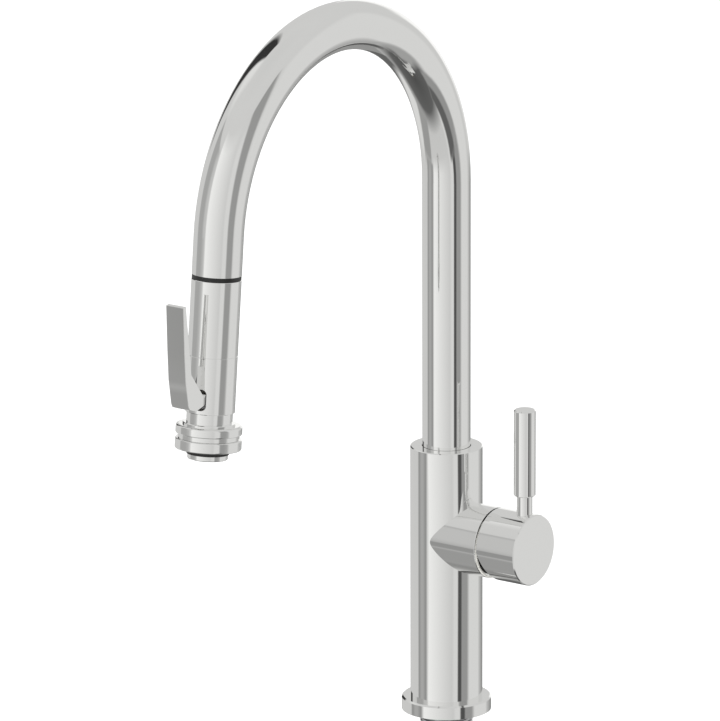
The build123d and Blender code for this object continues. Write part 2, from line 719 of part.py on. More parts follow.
def check_valve():
    end = CHECK_VALVE_TOP + CHECK_VALVE_H
    return HEAD * ring(CORE_BORE_D / 2 - FIT, CHECK_VALVE_BORE_D / 2, CHECK_VALVE_TOP, end)


def valve_block():
    end = valve_block_top + VALVE_BLOCK_H
    block = rod(neck_bore_r - FIT, valve_block_top, end)
    block -= Pos(0, cam_axis, 0) * rod(PLUNGER_D / 2 + RUN, valve_block_top, end)
    block -= Pos(0, WATERWAY_OFFSET, 0) * rod(WATERWAY_D / 2, valve_block_top, end)
    return HEAD * block


def head_neck():
    flange = shell_bore_r - FIT
    step_r = STEP_D / 2
    return HEAD * turned(
        (neck_bore_r, valve_block_top), (flange, valve_block_top), (flange, SHELL_END),
        (NECK_D / 2, SHELL_END), (NECK_D / 2, NECK_END), (step_r - EDGE, NECK_END), (step_r, NECK_END + EDGE),
        (step_r, STEP_END), (neck_bore_r, STEP_END),
    )


def rims(body):
    """Round edges on the grip rings' outside, in order of height."""
    circles = body.edges().filter_by(GeomType.CIRCLE)
    return circles.filter_by(lambda edge: abs(edge.radius - RING_D / 2) < TOUCH).sort_by(Axis.Z)


def upper_ring():
    bore = aerator_r + RUN
    body = turned(
        (bore, STEP_END), (RING_D / 2, STEP_END), (RING_D / 2, UPPER_RING_END),
        (GROOVE_D / 2, UPPER_RING_END), (GROOVE_D / 2, LOWER_RING_TOP - RUN), (bore, LOWER_RING_TOP - RUN),
    )
    body = fillet(rims(body)[0], RING_SHOULDER)
    return HEAD * fillet(rims(body)[-1], RING_EDGE)


def lower_ring():
    seat = NOZZLE_SEAL_D / 2 + FIT
    body = turned(
        (aerator_r + FIT, LOWER_RING_TOP), (RING_D / 2, LOWER_RING_TOP), (RING_D / 2, LOWER_RING_END),
        (seat, LOWER_RING_END), (seat, NOZZLE_SEAL_TOP), (aerator_r + FIT, NOZZLE_SEAL_TOP),
    )
    return HEAD * fillet(rims(body), RING_EDGE)


def nozzle_seal():
    return HEAD * ring(NOZZLE_SEAL_D / 2, aerator_r + FIT, NOZZLE_SEAL_TOP, NOZZLE_SEAL_END)


def aerator():
    bore = aerator_r - AERATOR_WALL
    return HEAD * turned(
        (bore, AERATOR_TOP), (aerator_r, AERATOR_TOP), (aerator_r, AERATOR_END - AERATOR_EDGE),
        (aerator_r - AERATOR_EDGE, AERATOR_END), (bore, AERATOR_END),
    )


def spray_plate():
    plate = rod(aerator_r - AERATOR_WALL - FIT, SPRAY_PLATE_TOP, SPRAY_PLATE_END)
    hole = rod(SPRAY_HOLE_D / 2, SPRAY_PLATE_TOP, SPRAY_PLATE_END)
    holes = []
    for radius, count in SPRAY_HOLE_ROWS:
        for turn in range(count):
            holes.append(Rot(0, 0, 360 * turn / count) * Pos(radius, 0, 0) * hole)
    return HEAD * (plate - holes)


# ---- squeeze lever ------------------------------------------------------------------
def lever_pin():
    return HEAD * at_pivot(Cylinder(LEVER_PIN_D / 2, LEVER_PIN_LENGTH - 2 * FIT))


def squeeze_lever():
    outline = [(spout_r + out, along) for out, along in BLADE_FRONT + BLADE_FOOT + BLADE_BACK]
    side = make_face(Plane.YZ * Polyline(*outline, close=True))
    lever = Pos(-lever_half, 0, 0) * extrude(side, LEVER_WIDTH, dir=(1, 0, 0))
    lever += at_pivot(Cylinder(LEVER_EYE_D / 2, LEVER_WIDTH))
    cam_bar = Box(CAM_W, CAM_REACH, CAM_D, align=(Align.CENTER, Align.MAX, Align.CENTER))
    lever += Pos(0, pivot_out, LEVER_ALONG) * cam_bar
    lever += Pos(0, cam_axis, LEVER_ALONG) * Rot(0, 90, 0) * Cylinder(CAM_D / 2, CAM_W)
    return HEAD * (lever - at_pivot(Cylinder(LEVER_PIN_D / 2 + RUN, LEVER_WIDTH + CUT_OVER)))


def valve_plunger():
    head_end = plunger_head_top + PLUNGER_HEAD_H
    head = rod(PLUNGER_HEAD_D / 2, plunger_head_top, head_end)
    return HEAD * (Pos(0, cam_axis, 0) * (head + rod(PLUNGER_D / 2, plunger_head_top, PLUNGER_END)))


def return_spring():
    inner = PLUNGER_D / 2 + LOOSE
    low = plunger_head_top + PLUNGER_HEAD_H + RUN
    return HEAD * (Pos(0, cam_axis, 0) * ring(inner + SPRING_WALL, inner, low, valve_block_top - RUN))


nodes = {
    "base_flange": base_flange(),
    "deck_gasket": deck_gasket(),
    "shank_adapter": shank_adapter(),
    "threaded_shank": threaded_shank(),
    "rubber_washer": rubber_washer(),
    "steel_washer": steel_washer(),
    "mounting_nut": mounting_nut(),
    "clamp_screws": clamp_screws(),
    "column_body": column_body(),
    "hot_inlet_tube": water_tube("hot"),
    "cold_inlet_tube": water_tube("cold"),
    "mixed_outlet_tube": water_tube("mixed"),
    "hot_inlet_nipple": water_nipple("hot"),
    "cold_inlet_nipple": water_nipple("cold"),
    "mixed_outlet_nipple": water_nipple("mixed"),
    "spout_bush_upper": spout_bush(COLUMN_TOP - LIP_H - SEAL_D - RUN - BUSH_H),
    "spout_bush_lower": spout_bush(LEDGE + RUN),
    "spout_seal": spout_seal(),
    "valve_gasket": valve_gasket(),
    "fixed_disc": fixed_disc(),
    "cartridge_housing": cartridge_housing(),
    "cartridge_nut": cartridge_nut(),
    "seam_washer": seam_washer(),
    "stem_carrier": stem_carrier(),
    "pivot_pin": pivot_pin(),
    "moving_disc": moving_disc(),
    "disc_driver": disc_driver(),
    "valve_stem": valve_stem(),
    "handle_cap": handle_cap(),
    "lever_stem": lever_stem(),
    "lever_rod": lever_rod(),
    "set_screw": set_screw(),
    "spout_tube": spout_tube(),
    "spout_retainer": spout_retainer(),
    "docking_guide": docking_guide(),
    "hose_nipple": hose_nipple(),
    "spray_hose": spray_hose(),
    "hose_ferrule": hose_ferrule(),
    "hose_coupling": hose_coupling(),
    "coupling_seal": coupling_seal(),
    "docking_spigot": docking_spigot(),
    "head_shell_upper": head_shell_upper(),
    "head_shell_lower": head_shell_lower(),
    "waterway_core": waterway_core(),
    "check_valve": check_valve(),
    "valve_block": valve_block(),
    "head_neck": head_neck(),
    "upper_ring": upper_ring(),
    "lever_pin": lever_pin(),
    "return_spring": return_spring(),
    "lower_ring": lower_ring(),
    "nozzle_seal": nozzle_seal(),
    "aerator": aerator(),
    "spray_plate": spray_plate(),
    "squeeze_lever": squeeze_lever(),
    "valve_plunger": valve_plunger(),
}

os.makedirs("parts", exist_ok=True)
for name, shape in nodes.items():
    export_step(shape, f"parts/{name}.step")
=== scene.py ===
"""Studio scene of a pull-down kitchen faucet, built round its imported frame."""

import json
import logging
import math
from dataclasses import dataclass, field
from enum import Enum
from typing import Sequence

import bmesh
import bpy
from mathutils import Matrix, Vector


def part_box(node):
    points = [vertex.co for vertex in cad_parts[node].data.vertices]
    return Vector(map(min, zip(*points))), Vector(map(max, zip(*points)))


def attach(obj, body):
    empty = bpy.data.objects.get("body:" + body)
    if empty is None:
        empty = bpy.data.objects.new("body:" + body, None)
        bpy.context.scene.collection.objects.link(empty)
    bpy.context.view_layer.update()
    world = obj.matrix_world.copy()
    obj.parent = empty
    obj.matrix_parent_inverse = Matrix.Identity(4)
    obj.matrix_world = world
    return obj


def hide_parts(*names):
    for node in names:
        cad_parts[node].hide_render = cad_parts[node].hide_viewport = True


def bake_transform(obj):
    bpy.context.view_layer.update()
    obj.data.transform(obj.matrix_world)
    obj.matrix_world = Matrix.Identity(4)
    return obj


LOG = logging.getLogger("faucet")
MM = 0.001
SHARP_ANGLE = 30.0               # degrees; steeper edges of a CAD node are rounded
FLAT_ANGLE = 0.5                 # degrees; flatter edges only split a face
MOTTLED_OUTPUTS = (
    ("Tone", "NodeSocketFloat"), ("Roughness", "NodeSocketFloat"), ("Height", "NodeSocketFloat"),
)
Builder = bmesh.types.BMesh
Color = tuple[float, float, float]
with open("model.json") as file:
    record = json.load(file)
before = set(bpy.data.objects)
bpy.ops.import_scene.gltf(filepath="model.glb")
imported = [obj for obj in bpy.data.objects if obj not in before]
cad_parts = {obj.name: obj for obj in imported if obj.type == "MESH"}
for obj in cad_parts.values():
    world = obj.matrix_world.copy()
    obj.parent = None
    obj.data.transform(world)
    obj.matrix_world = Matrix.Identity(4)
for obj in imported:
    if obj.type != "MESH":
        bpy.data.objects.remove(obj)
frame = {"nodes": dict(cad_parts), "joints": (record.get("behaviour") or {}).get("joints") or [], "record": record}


class Finish(Enum):
    """The finishes that the faucet's pieces come in, named as the record's slots."""

    CHROME = "chrome"
    BRASS = "brass"
    STEEL = "steel"
    RUBBER = "rubber"
    BLACK_PLASTIC = "black_plastic"
    NYLON = "nylon"
    GREY_PLASTIC = "grey_plastic"
    CERAMIC = "ceramic"
    HOSE = "hose"


# ---- shader groups ------------------------------------------------------------------
def new_group(name: str, inputs: Sequence[tuple[str, float]], outputs: Sequence[tuple[str, str]]):
    """Make an empty shader node group.

    Args:
        name: the group's name.
        inputs: names and default values of its number inputs.
        outputs: names and socket types of its outputs.

    Returns:
        The node tree with its input node and output node.
    """
    tree = bpy.data.node_groups.new(name, "ShaderNodeTree")
    tree.interface.new_socket("Vector", in_out="INPUT", socket_type="NodeSocketVector")
    for label, value in inputs:
        socket = tree.interface.new_socket(label, in_out="INPUT", socket_type="NodeSocketFloat")
        socket.default_value = value
    for label, kind in outputs:
        tree.interface.new_socket(label, in_out="OUTPUT", socket_type=kind)
    return tree, tree.nodes.new("NodeGroupInput"), tree.nodes.new("NodeGroupOutput")


def link_all(tree, *pairs) -> None:
    """Link the first socket of each pair to the second."""
    for source, target in pairs:
        tree.links.new(source, target)


def noise(tree, vector, scale: float, detail: float, roughness: float = 0.5):
    """Add a noise texture to a tree and return its node."""
    node = tree.nodes.new("ShaderNodeTexNoise")
    node.inputs["Scale"].default_value = scale
    node.inputs["Detail"].default_value = detail
    node.inputs["Roughness"].default_value = roughness
    tree.links.new(vector, node.inputs["Vector"])
    return node


def math_node(tree, operation: str, first, second):
    """Add a math node whose inputs are sockets or numbers and return its output."""
    node = tree.nodes.new("ShaderNodeMath")
    node.operation = operation
    for socket, value in zip(node.inputs, (first, second)):
        if isinstance(value, (int, float)):
            socket.default_value = value
        else:
            tree.links.new(value, socket)
    return node.outputs[0]


def map_range(tree, value, low: float, high: float, to_low, to_high):
    """Add a map range node from a socket and return its output."""
    node = tree.nodes.new("ShaderNodeMapRange")
    tree.links.new(value, node.inputs["Value"])
    node.inputs["From Min"].default_value = low
    node.inputs["From Max"].default_value = high
    for label, end in (("To Min", to_low), ("To Max", to_high)):
        if isinstance(end, (int, float)):
            node.inputs[label].default_value = end
        else:
            tree.links.new(end, node.inputs[label])
    return node.outputs["Result"]


def polish_group():
    """Group for plated metal: faint wiping marks in the gloss and a very slight waviness."""
    tree, start, end = new_group(
        "polish_marks",
        (("Gloss Low", 0.03), ("Gloss High", 0.09), ("Scale", 1.0)),
        (("Roughness", "NodeSocketFloat"), ("Height", "NodeSocketFloat")),
    )
    scaled = tree.nodes.new("ShaderNodeVectorMath")
    scaled.operation = "SCALE"
    tree.links.new(start.outputs["Vector"], scaled.inputs[0])
    tree.links.new(start.outputs["Scale"], scaled.inputs["Scale"])
    stretched = tree.nodes.new("ShaderNodeMapping")
    stretched.inputs["Scale"].default_value = (1.0, 1.0, 0.22)
    tree.links.new(scaled.outputs[0], stretched.inputs["Vector"])
    smears = noise(tree, stretched.outputs[0], 45.0, 3.0)
    hairlines = noise(tree, stretched.outputs[0], 900.0, 2.0)
    both = math_node(tree, "ADD", math_node(tree, "MULTIPLY", smears.outputs[0], 0.7),
                     math_node(tree, "MULTIPLY", hairlines.outputs[0], 0.3))
    gloss = map_range(tree, both, 0.35, 0.7, start.outputs["Gloss Low"], start.outputs["Gloss High"])
    tree.links.new(gloss, end.inputs["Roughness"])
    wave = noise(tree, scaled.outputs[0], 30.0, 1.0)
    tree.links.new(wave.outputs[0], end.inputs["Height"])
    return tree


def mottle(tree, start, end, scale: float) -> None:
    """Set a group's tone and roughness from broad noise."""
    broad = noise(tree, start.outputs["Vector"], scale, 3.0).outputs[0]
    tree.links.new(map_range(tree, broad, 0.3, 0.7, 0.0, 1.0), end.inputs["Tone"])
    gloss = map_range(tree, broad, 0.35, 0.65, start.outputs["Gloss Low"], start.outputs["Gloss High"])
    tree.links.new(gloss, end.inputs["Roughness"])


def grain_group():
    """Group for moulded and cast surfaces: fine grain, tone mottling and uneven gloss."""
    tree, start, end = new_group(
        "surface_grain",
        (("Grain Scale", 1500.0), ("Gloss Low", 0.4), ("Gloss High", 0.6)),
        MOTTLED_OUTPUTS,
    )
    fine = tree.nodes.new("ShaderNodeTexNoise")
    fine.inputs["Detail"].default_value = 4.0
    tree.links.new(start.outputs["Vector"], fine.inputs["Vector"])
    tree.links.new(start.outputs["Grain Scale"], fine.inputs["Scale"])
    mottle(tree, start, end, 70.0)
    tree.links.new(fine.outputs[0], end.inputs["Height"])
    return tree


def turning_group():
    """Group for turned metal: fine tool rings along an axis and mottled tone."""
    tree, start, end = new_group(
        "tool_rings",
        (("Pitch Scale", 1500.0), ("Gloss Low", 0.25), ("Gloss High", 0.42)),
        MOTTLED_OUTPUTS,
    )
    wave = tree.nodes.new("ShaderNodeTexWave")
    wave.bands_direction = "Z"
    wave.inputs["Distortion"].default_value = 0.6
    wave.inputs["Detail"].default_value = 2.0
    tree.links.new(start.outputs["Vector"], wave.inputs["Vector"])
    tree.links.new(start.outputs["Pitch Scale"], wave.inputs["Scale"])
    mottle(tree, start, end, 90.0)
    tree.links.new(wave.outputs["Fac"], end.inputs["Height"])
    return tree


def braid_and_shade_group():
    """Group for a braided cover: strands that cross over and under, from a round-and-length UV; its tone follows
    their height, painted shade where each strand dips and a painted highlight on its crown.
    """
    tree, start, end = new_group(
        "braided_strands",
        (("Strands", 12.0), ("Lay", 0.011)),
        (("Tone", "NodeSocketFloat"), ("Height", "NodeSocketFloat")),
    )
    parts = tree.nodes.new("ShaderNodeSeparateXYZ")
    tree.links.new(start.outputs["Vector"], parts.inputs[0])
    around = math_node(tree, "MULTIPLY", parts.outputs["X"], start.outputs["Strands"])
    along = math_node(tree, "DIVIDE", parts.outputs["Y"], start.outputs["Lay"])
    along = math_node(tree, "MULTIPLY", along, start.outputs["Strands"])
    right = math_node(tree, "ADD", around, along)
    left = math_node(tree, "SUBTRACT", around, along)
    crowns = []
    for lay in (right, left):
        share = math_node(tree, "FRACT", lay, 0.0)
        bow = math_node(tree, "MULTIPLY", share, math_node(tree, "SUBTRACT", 1.0, share))
        crowns.append(math_node(tree, "MULTIPLY", bow, 4.0))
    cells = math_node(tree, "ADD", math_node(tree, "FLOOR", right, 0.0), math_node(tree, "FLOOR", left, 0.0))
    over = math_node(tree, "FLOORED_MODULO", cells, 2.0)
    height = math_node(
        tree, "ADD", math_node(tree, "MULTIPLY", crowns[0], over),
        math_node(tree, "MULTIPLY", crowns[1], math_node(tree, "SUBTRACT", 1.0, over)),
    )
    tree.links.new(height, end.inputs["Height"])
    # Tone from height: painted shade in the dips between strands, painted highlight on their crowns.
    tree.links.new(map_range(tree, height, 0.0, 0.9, 0.0, 1.0), end.inputs["Tone"])
    return tree


@dataclass
class MaterialKit:
    """Holds the shared shader groups and starts each material."""

    polish: bpy.types.NodeTree = field(default_factory=polish_group)
    grain: bpy.types.NodeTree = field(default_factory=grain_group)
    turning: bpy.types.NodeTree = field(default_factory=turning_group)
    braid: bpy.types.NodeTree = field(default_factory=braid_and_shade_group)

    def start(self, name: str):
        """Make a material and return it with its tree, shader and object coordinates."""
        material = bpy.data.materials.new(name)
        material.use_nodes = True
        tree = material.node_tree
        shader = tree.nodes["Principled BSDF"]
        place = tree.nodes.new("ShaderNodeTexCoord")
        return material, tree, shader, place.outputs["Object"]

    def group(self, tree, group, vector, values: dict[str, float]):
        """Place a shared group in a material's tree with its own values."""
        node = tree.nodes.new("ShaderNodeGroup")
        node.node_tree = group
        tree.links.new(vector, node.inputs["Vector"])
        for label, value in values.items():
            node.inputs[label].default_value = value
        return node

    def bump(self, tree, shader, height, strength: float, distance: float) -> None:
        """Feed a height through a bump node to the shader's normal."""
        node = tree.nodes.new("ShaderNodeBump")
        node.inputs["Strength"].default_value = strength
        node.inputs["Distance"].default_value = distance
        tree.links.new(height, node.inputs["Height"])
        tree.links.new(node.outputs[0], shader.inputs["Normal"])

    def tone(self, tree, shader, factor, dark: Sequence[float], light: Sequence[float]) -> None:
        """Mix two colours by a factor into the shader's base colour."""
        mix = tree.nodes.new("ShaderNodeMix")
        mix.data_type = "RGBA"
        mix.inputs[6].default_value = (*dark, 1.0)
        mix.inputs[7].default_value = (*light, 1.0)
        tree.links.new(factor, mix.inputs[0])
        tree.links.new(mix.outputs[2], shader.inputs["Base Color"])


def gloss_inputs(gloss: tuple[float, float]) -> dict[str, float]:
    """Return a range of gloss as a shader group's inputs."""
    return {"Gloss Low": gloss[0], "Gloss High": gloss[1]}


def grey(value: float) -> Color:
    """Return a neutral colour."""
    return value, value, value


@dataclass(frozen=True)
class PlatedFinish:
    """Polished plating on metal."""

    name: str
    color: Color
    gloss: tuple[float, float] = (0.03, 0.07)
    waviness: float = 0.002

    def build(self, kit: MaterialKit) -> bpy.types.Material:
        """Return the finish's material."""
        material, tree, shader, place = kit.start(self.name)
        marks = kit.group(tree, kit.polish, place, gloss_inputs(self.gloss))
        shader.inputs["Base Color"].default_value = (*self.color, 1.0)
        shader.inputs["Metallic"].default_value = 1.0
        tree.links.new(marks.outputs["Roughness"], shader.inputs["Roughness"])
        kit.bump(tree, shader, marks.outputs["Height"], self.waviness, 0.0004)
        return material


@dataclass(frozen=True)
class TurnedFinish:
    """Bare turned or drawn metal."""

    name: str
    dark: Color
    light: Color
    gloss: tuple[float, float] = (0.22, 0.38)
    rings: float = 0.25

    def build(self, kit: MaterialKit) -> bpy.types.Material:
        """Return the finish's material."""
        material, tree, shader, place = kit.start(self.name)
        rings = kit.group(tree, kit.turning, place, gloss_inputs(self.gloss))
        shader.inputs["Metallic"].default_value = 1.0
        kit.tone(tree, shader, rings.outputs["Tone"], self.dark, self.light)
        tree.links.new(rings.outputs["Roughness"], shader.inputs["Roughness"])
        kit.bump(tree, shader, rings.outputs["Height"], self.rings, 0.00002)
        return material


@dataclass(frozen=True)
class MouldedFinish:
    """Moulded rubber, plastic or pressed ceramic."""

    name: str
    dark: Color
    light: Color
    gloss: tuple[float, float]
    grain: float = 0.2
    grain_scale: float = 1500.0

    def build(self, kit: MaterialKit) -> bpy.types.Material:
        """Return the finish's material."""
        material, tree, shader, place = kit.start(self.name)
        values = gloss_inputs(self.gloss) | {"Grain Scale": self.grain_scale}
        grain = kit.group(tree, kit.grain, place, values)
        kit.tone(tree, shader, grain.outputs["Tone"], self.dark, self.light)
        tree.links.new(grain.outputs["Roughness"], shader.inputs["Roughness"])
        kit.bump(tree, shader, grain.outputs["Height"], self.grain, 0.00008)
        return material


@dataclass(frozen=True)
class BraidedFinish:
    """Braided cover of the hose, laid out on its UV map; its tone runs from painted shade where the strands dip to
    a painted highlight on their crowns.
    """

    name: str
    dark: Color
    light: Color
    strands: float = 12.0
    lay: float = 0.06            # metres of hose for one turn of a strand
    gloss: tuple[float, float] = (0.32, 0.48)

    def build(self, kit: MaterialKit) -> bpy.types.Material:
        """Return the finish's material."""
        material, tree, shader, place = kit.start(self.name)
        laid = tree.nodes.new("ShaderNodeUVMap")
        laid.uv_map = "braid"
        braid = kit.group(tree, kit.braid, laid.outputs["UV"], {"Strands": self.strands, "Lay": self.lay})
        grain = kit.group(tree, kit.grain, place, gloss_inputs(self.gloss))
        # The braid's dark and light greys follow the weave's height: painted shade and painted highlight of the
        # strands.
        kit.tone(tree, shader, braid.outputs["Tone"], self.dark, self.light)
        tree.links.new(grain.outputs["Roughness"], shader.inputs["Roughness"])
        kit.bump(tree, shader, braid.outputs["Height"], 0.8, 0.0004)
        return material


FINISHES = {
    Finish.CHROME: PlatedFinish("chrome_plate", (0.93, 0.93, 0.925)),
    Finish.BRASS: TurnedFinish("turned_brass", (0.66, 0.47, 0.20), (0.80, 0.60, 0.30)),
    Finish.STEEL: TurnedFinish("drawn_steel", (0.56, 0.56, 0.57), (0.70, 0.70, 0.71), (0.18, 0.32), 0.15),
    Finish.RUBBER: MouldedFinish("moulded_rubber", grey(0.010), grey(0.022), (0.55, 0.75)),
    Finish.BLACK_PLASTIC: MouldedFinish("black_moulding", grey(0.006), grey(0.014), (0.35, 0.5)),
    Finish.NYLON: MouldedFinish("natural_nylon", (0.70, 0.69, 0.64), (0.80, 0.79, 0.75), (0.38, 0.5)),
    Finish.GREY_PLASTIC: MouldedFinish(
        "grey_moulding", (0.16, 0.165, 0.17), (0.22, 0.225, 0.23), (0.4, 0.55)
    ),
    Finish.CERAMIC: MouldedFinish(
        "lapped_ceramic", (0.84, 0.84, 0.82), (0.90, 0.90, 0.88), (0.10, 0.2), 0.05
    ),
    # The hose braid's two greys are painted shade and painted highlight of its strands.
    Finish.HOSE: BraidedFinish("hose_braid", (0.02, 0.02, 0.022), (0.20, 0.20, 0.21)),
}


# ---- where things are ---------------------------------------------------------------
def joint(name: str) -> dict:
    """Return a joint of the frame by its name."""
    return next(row for row in frame["joints"] if row["name"] == name)


def line_place(origin: Vector, along: Vector) -> Matrix:
    """Return the placement whose local Z runs along a line and whose X stays level.

    Args:
        origin: where local zero goes.
        along: the line's direction.

    Returns:
        A 4 by 4 matrix.
    """
    z = along.normalized()
    level = Vector((1.0, 0.0, 0.0)) if abs(z.x) < 0.9 else Vector((0.0, 1.0, 0.0))
    y = z.cross(level).normalized()
    x = y.cross(z)
    turn = Matrix((x, y, z)).transposed().to_4x4()
    return Matrix.Translation(origin) @ turn


@dataclass(frozen=True)
class HeadLine:
    """The spray head's axis: its direction and a point on it."""

    along: Vector
    point: Vector

    @classmethod
    def from_frame(cls) -> "HeadLine":
        """Read the line from the frame's joints."""
        return cls(Vector(joint("head_pull")["axis"]).normalized(), Vector(joint("head_turn")["pos_m"]))

    def reach(self, place: Vector) -> float:
        """Return how far along the line a place lies from the point."""
        return (place - self.point).dot(self.along)

    def span(self, node: str) -> tuple[float, float]:
        """Return where a node starts and ends along the line."""
        reaches = [self.reach(vertex.co) for vertex in frame["nodes"][node].data.vertices]
        return min(reaches), max(reaches)

    def at(self, reach: float) -> Vector:
        """Return the point of the line at a distance."""
        return self.point + self.along * reach


# ---- mesh makers --------------------------------------------------------------------
def smooth_mesh(mesh: bpy.types.Mesh, angle: float = 35.0) -> None:
    """Shade a mesh smooth, with sharp edges above an angle in degrees."""
    mesh.polygons.foreach_set("use_smooth", [True] * len(mesh.polygons))
    mesh.set_sharp_from_angle(angle=math.radians(angle))


def linked(name: str, data) -> bpy.types.Object:
    """Make an object of some data, link it to the scene and return it."""
    made = bpy.data.objects.new(name, data)
    bpy.context.scene.collection.objects.link(made)
    return made


def round_point(radius: float, angle: float, height: float = 0.0) -> Vector:
    """Return a point of a circle about Z."""
    return Vector((radius * math.cos(angle), radius * math.sin(angle), height))


def piece_from(name: str, builder: Builder, place: Matrix = Matrix.Identity(4)) -> bpy.types.Object:
    """Turn a builder into a linked object with outward faces and smooth shading.

    Args:
        name: the object's name.
        builder: its mesh, which is freed.
        place: where the mesh goes; the object itself stays at the origin.

    Returns:
        The object.
    """
    bmesh.ops.remove_doubles(builder, verts=builder.verts, dist=1e-7)
    bmesh.ops.recalc_face_normals(builder, faces=builder.faces)
    bmesh.ops.transform(builder, matrix=place, verts=builder.verts)
    mesh = bpy.data.meshes.new(name)
    builder.to_mesh(mesh)
    builder.free()
    smooth_mesh(mesh)
    return linked(name, mesh)


def skin_rings(
    builder: Builder, rings: Sequence[Sequence[bmesh.types.BMVert]], closed: bool = True
) -> None:
    """Join neighbouring rings of vertices with faces, and the last to the first when closed."""
    pairs = list(zip(rings, rings[1:]))
    if closed:
        pairs.append((rings[-1], rings[0]))
    for low, high in pairs:
        count = len(low)
        for side in range(count):
            after = (side + 1) % count
            builder.faces.new((low[side], low[after], high[after], high[side]))


def cap_ring(builder: Builder, ring: Sequence[bmesh.types.BMVert], height: float) -> None:
    """Close a ring with a fan to a middle point on the axis."""
    middle = builder.verts.new((0.0, 0.0, height))
    for side, vertex in enumerate(ring):
        builder.faces.new((vertex, ring[(side + 1) % len(ring)], middle))


@dataclass(frozen=True)
class Thread:
    """A screw thread on a round bar or tube, in metres."""

    outer: float
    bore: float
    low: float
    high: float
    pitch: float
    depth: float
    sides: int = 72
    steps: int = 8               # rows of faces in one pitch
    flank: float = 1.6           # steepness of the thread's flanks
    valley: float = 0.3          # width of its flat valley

    def radius(self, turn: float, height: float) -> float:
        """Return the surface's radius at an angle, as a share of a turn, and a height."""
        phase = (height / self.pitch - turn) % 1.0
        slope = min(max(abs(2.0 * phase - 1.0) * self.flank - self.valley, 0.0), 1.0)
        room = min(height - self.low, self.high - height)
        fade = min(max(room / self.pitch, 0.0), 1.0)
        return self.outer - self.depth * (1.0 - slope * fade)

    def ring(self, builder: Builder, radius: float, height: float) -> list[bmesh.types.BMVert]:
        """Add a plain ring of vertices."""
        turns = (math.tau * side / self.sides for side in range(self.sides))
        return [builder.verts.new(round_point(radius, angle, height)) for angle in turns]

    def build(self, builder: Builder) -> None:
        """Add the threaded bar to a builder."""
        count = max(2, round((self.high - self.low) / self.pitch * self.steps))
        rings = []
        for row in range(count + 1):
            height = self.low + (self.high - self.low) * row / count
            ring = []
            for side in range(self.sides):
                turn = side / self.sides
                radius = self.radius(turn, height)
                ring.append(builder.verts.new(round_point(radius, math.tau * turn, height)))
            rings.append(ring)
        if self.bore > 0.0:
            rings += [self.ring(builder, self.bore, self.high), self.ring(builder, self.bore, self.low)]
            skin_rings(builder, rings)
        else:
            skin_rings(builder, rings, closed=False)
            cap_ring(builder, rings[0], self.low)
            cap_ring(builder, rings[-1], self.high)


@dataclass(frozen=True)
class HexHead:
    """A hexagonal head with its corners turned off at both ends, in metres."""

    flats: float
    low: float
    high: float
    sides: int = 72
    slope: float = 0.5           # fall of the turned corner for each step outwards
    face: float = 0.97           # width of the flat face in the hexagon's

    def width(self, angle: float) -> float:
        """Return the hexagon's radius at an angle."""
        corner = (angle + math.pi / 6.0) % (math.pi / 3.0) - math.pi / 6.0
        return self.flats / 2.0 / math.cos(corner)

    def build(self, builder: Builder) -> None:
        """Add the head to a builder."""
        inscribed = self.flats / 2.0 * self.face
        angles = [math.tau * side / self.sides for side in range(self.sides)]
        rings = []
        for end, sign in ((self.low, 1.0), (self.high, -1.0)):
            flat = [(inscribed, end) for _ in angles]
            edge = [(self.width(a), end + sign * self.slope * (self.width(a) - inscribed)) for a in angles]
            order = (flat, edge) if sign > 0 else (edge, flat)
            for points in order:
                rings.append([
                    builder.verts.new(round_point(radius, angle, height))
                    for angle, (radius, height) in zip(angles, points)
                ])
        skin_rings(builder, rings, closed=False)
        cap_ring(builder, rings[0], self.low)
        cap_ring(builder, rings[-1], self.high)


def turned_mesh(builder: Builder, profile: Sequence[tuple[float, float]], sides: int) -> None:
    """Add a closed ring turned about Z from (radius, height) points."""
    rings = [
        [builder.verts.new(round_point(radius, math.tau * side / sides, height)) for side in range(sides)]
        for radius, height in profile
    ]
    skin_rings(builder, rings)


def plain_mesh(piece: bpy.types.Object) -> bpy.types.Object:
    """Turn a piece with modifiers into a plain mesh and return it."""
    graph = bpy.context.evaluated_depsgraph_get()
    mesh = bpy.data.meshes.new_from_object(piece.evaluated_get(graph), depsgraph=graph)
    piece.modifiers.clear()
    mesh.name = piece.name
    piece.data = mesh
    return piece


def softened(node: str, name: str, width: float, segments: int = 3) -> bpy.types.Object:
    """Copy a CAD node, join its loose triangles and round its sharp edges.

    Args:
        node: the CAD node.
        name: the new piece's name.
        width: how far the rounding reaches from each edge, in metres.
        segments: faces across each rounding.

    Returns:
        The new piece, as a plain mesh.
    """
    builder = bmesh.new()
    builder.from_mesh(frame["nodes"][node].data)
    bmesh.ops.remove_doubles(builder, verts=builder.verts, dist=1e-6)
    bmesh.ops.dissolve_limit(
        builder, angle_limit=math.radians(FLAT_ANGLE), verts=builder.verts, edges=builder.edges
    )
    sharp = [
        edge for edge in builder.edges
        if edge.is_manifold and edge.calc_face_angle() > math.radians(SHARP_ANGLE)
    ]
    bmesh.ops.bevel(
        builder, geom=sharp, offset=width, segments=segments, profile=0.5, affect="EDGES", clamp_overlap=True
    )
    piece = piece_from(name, builder)
    weights = piece.modifiers.new("flat_faces", "WEIGHTED_NORMAL")
    weights.weight = 100
    weights.keep_sharp = True
    return plain_mesh(piece)


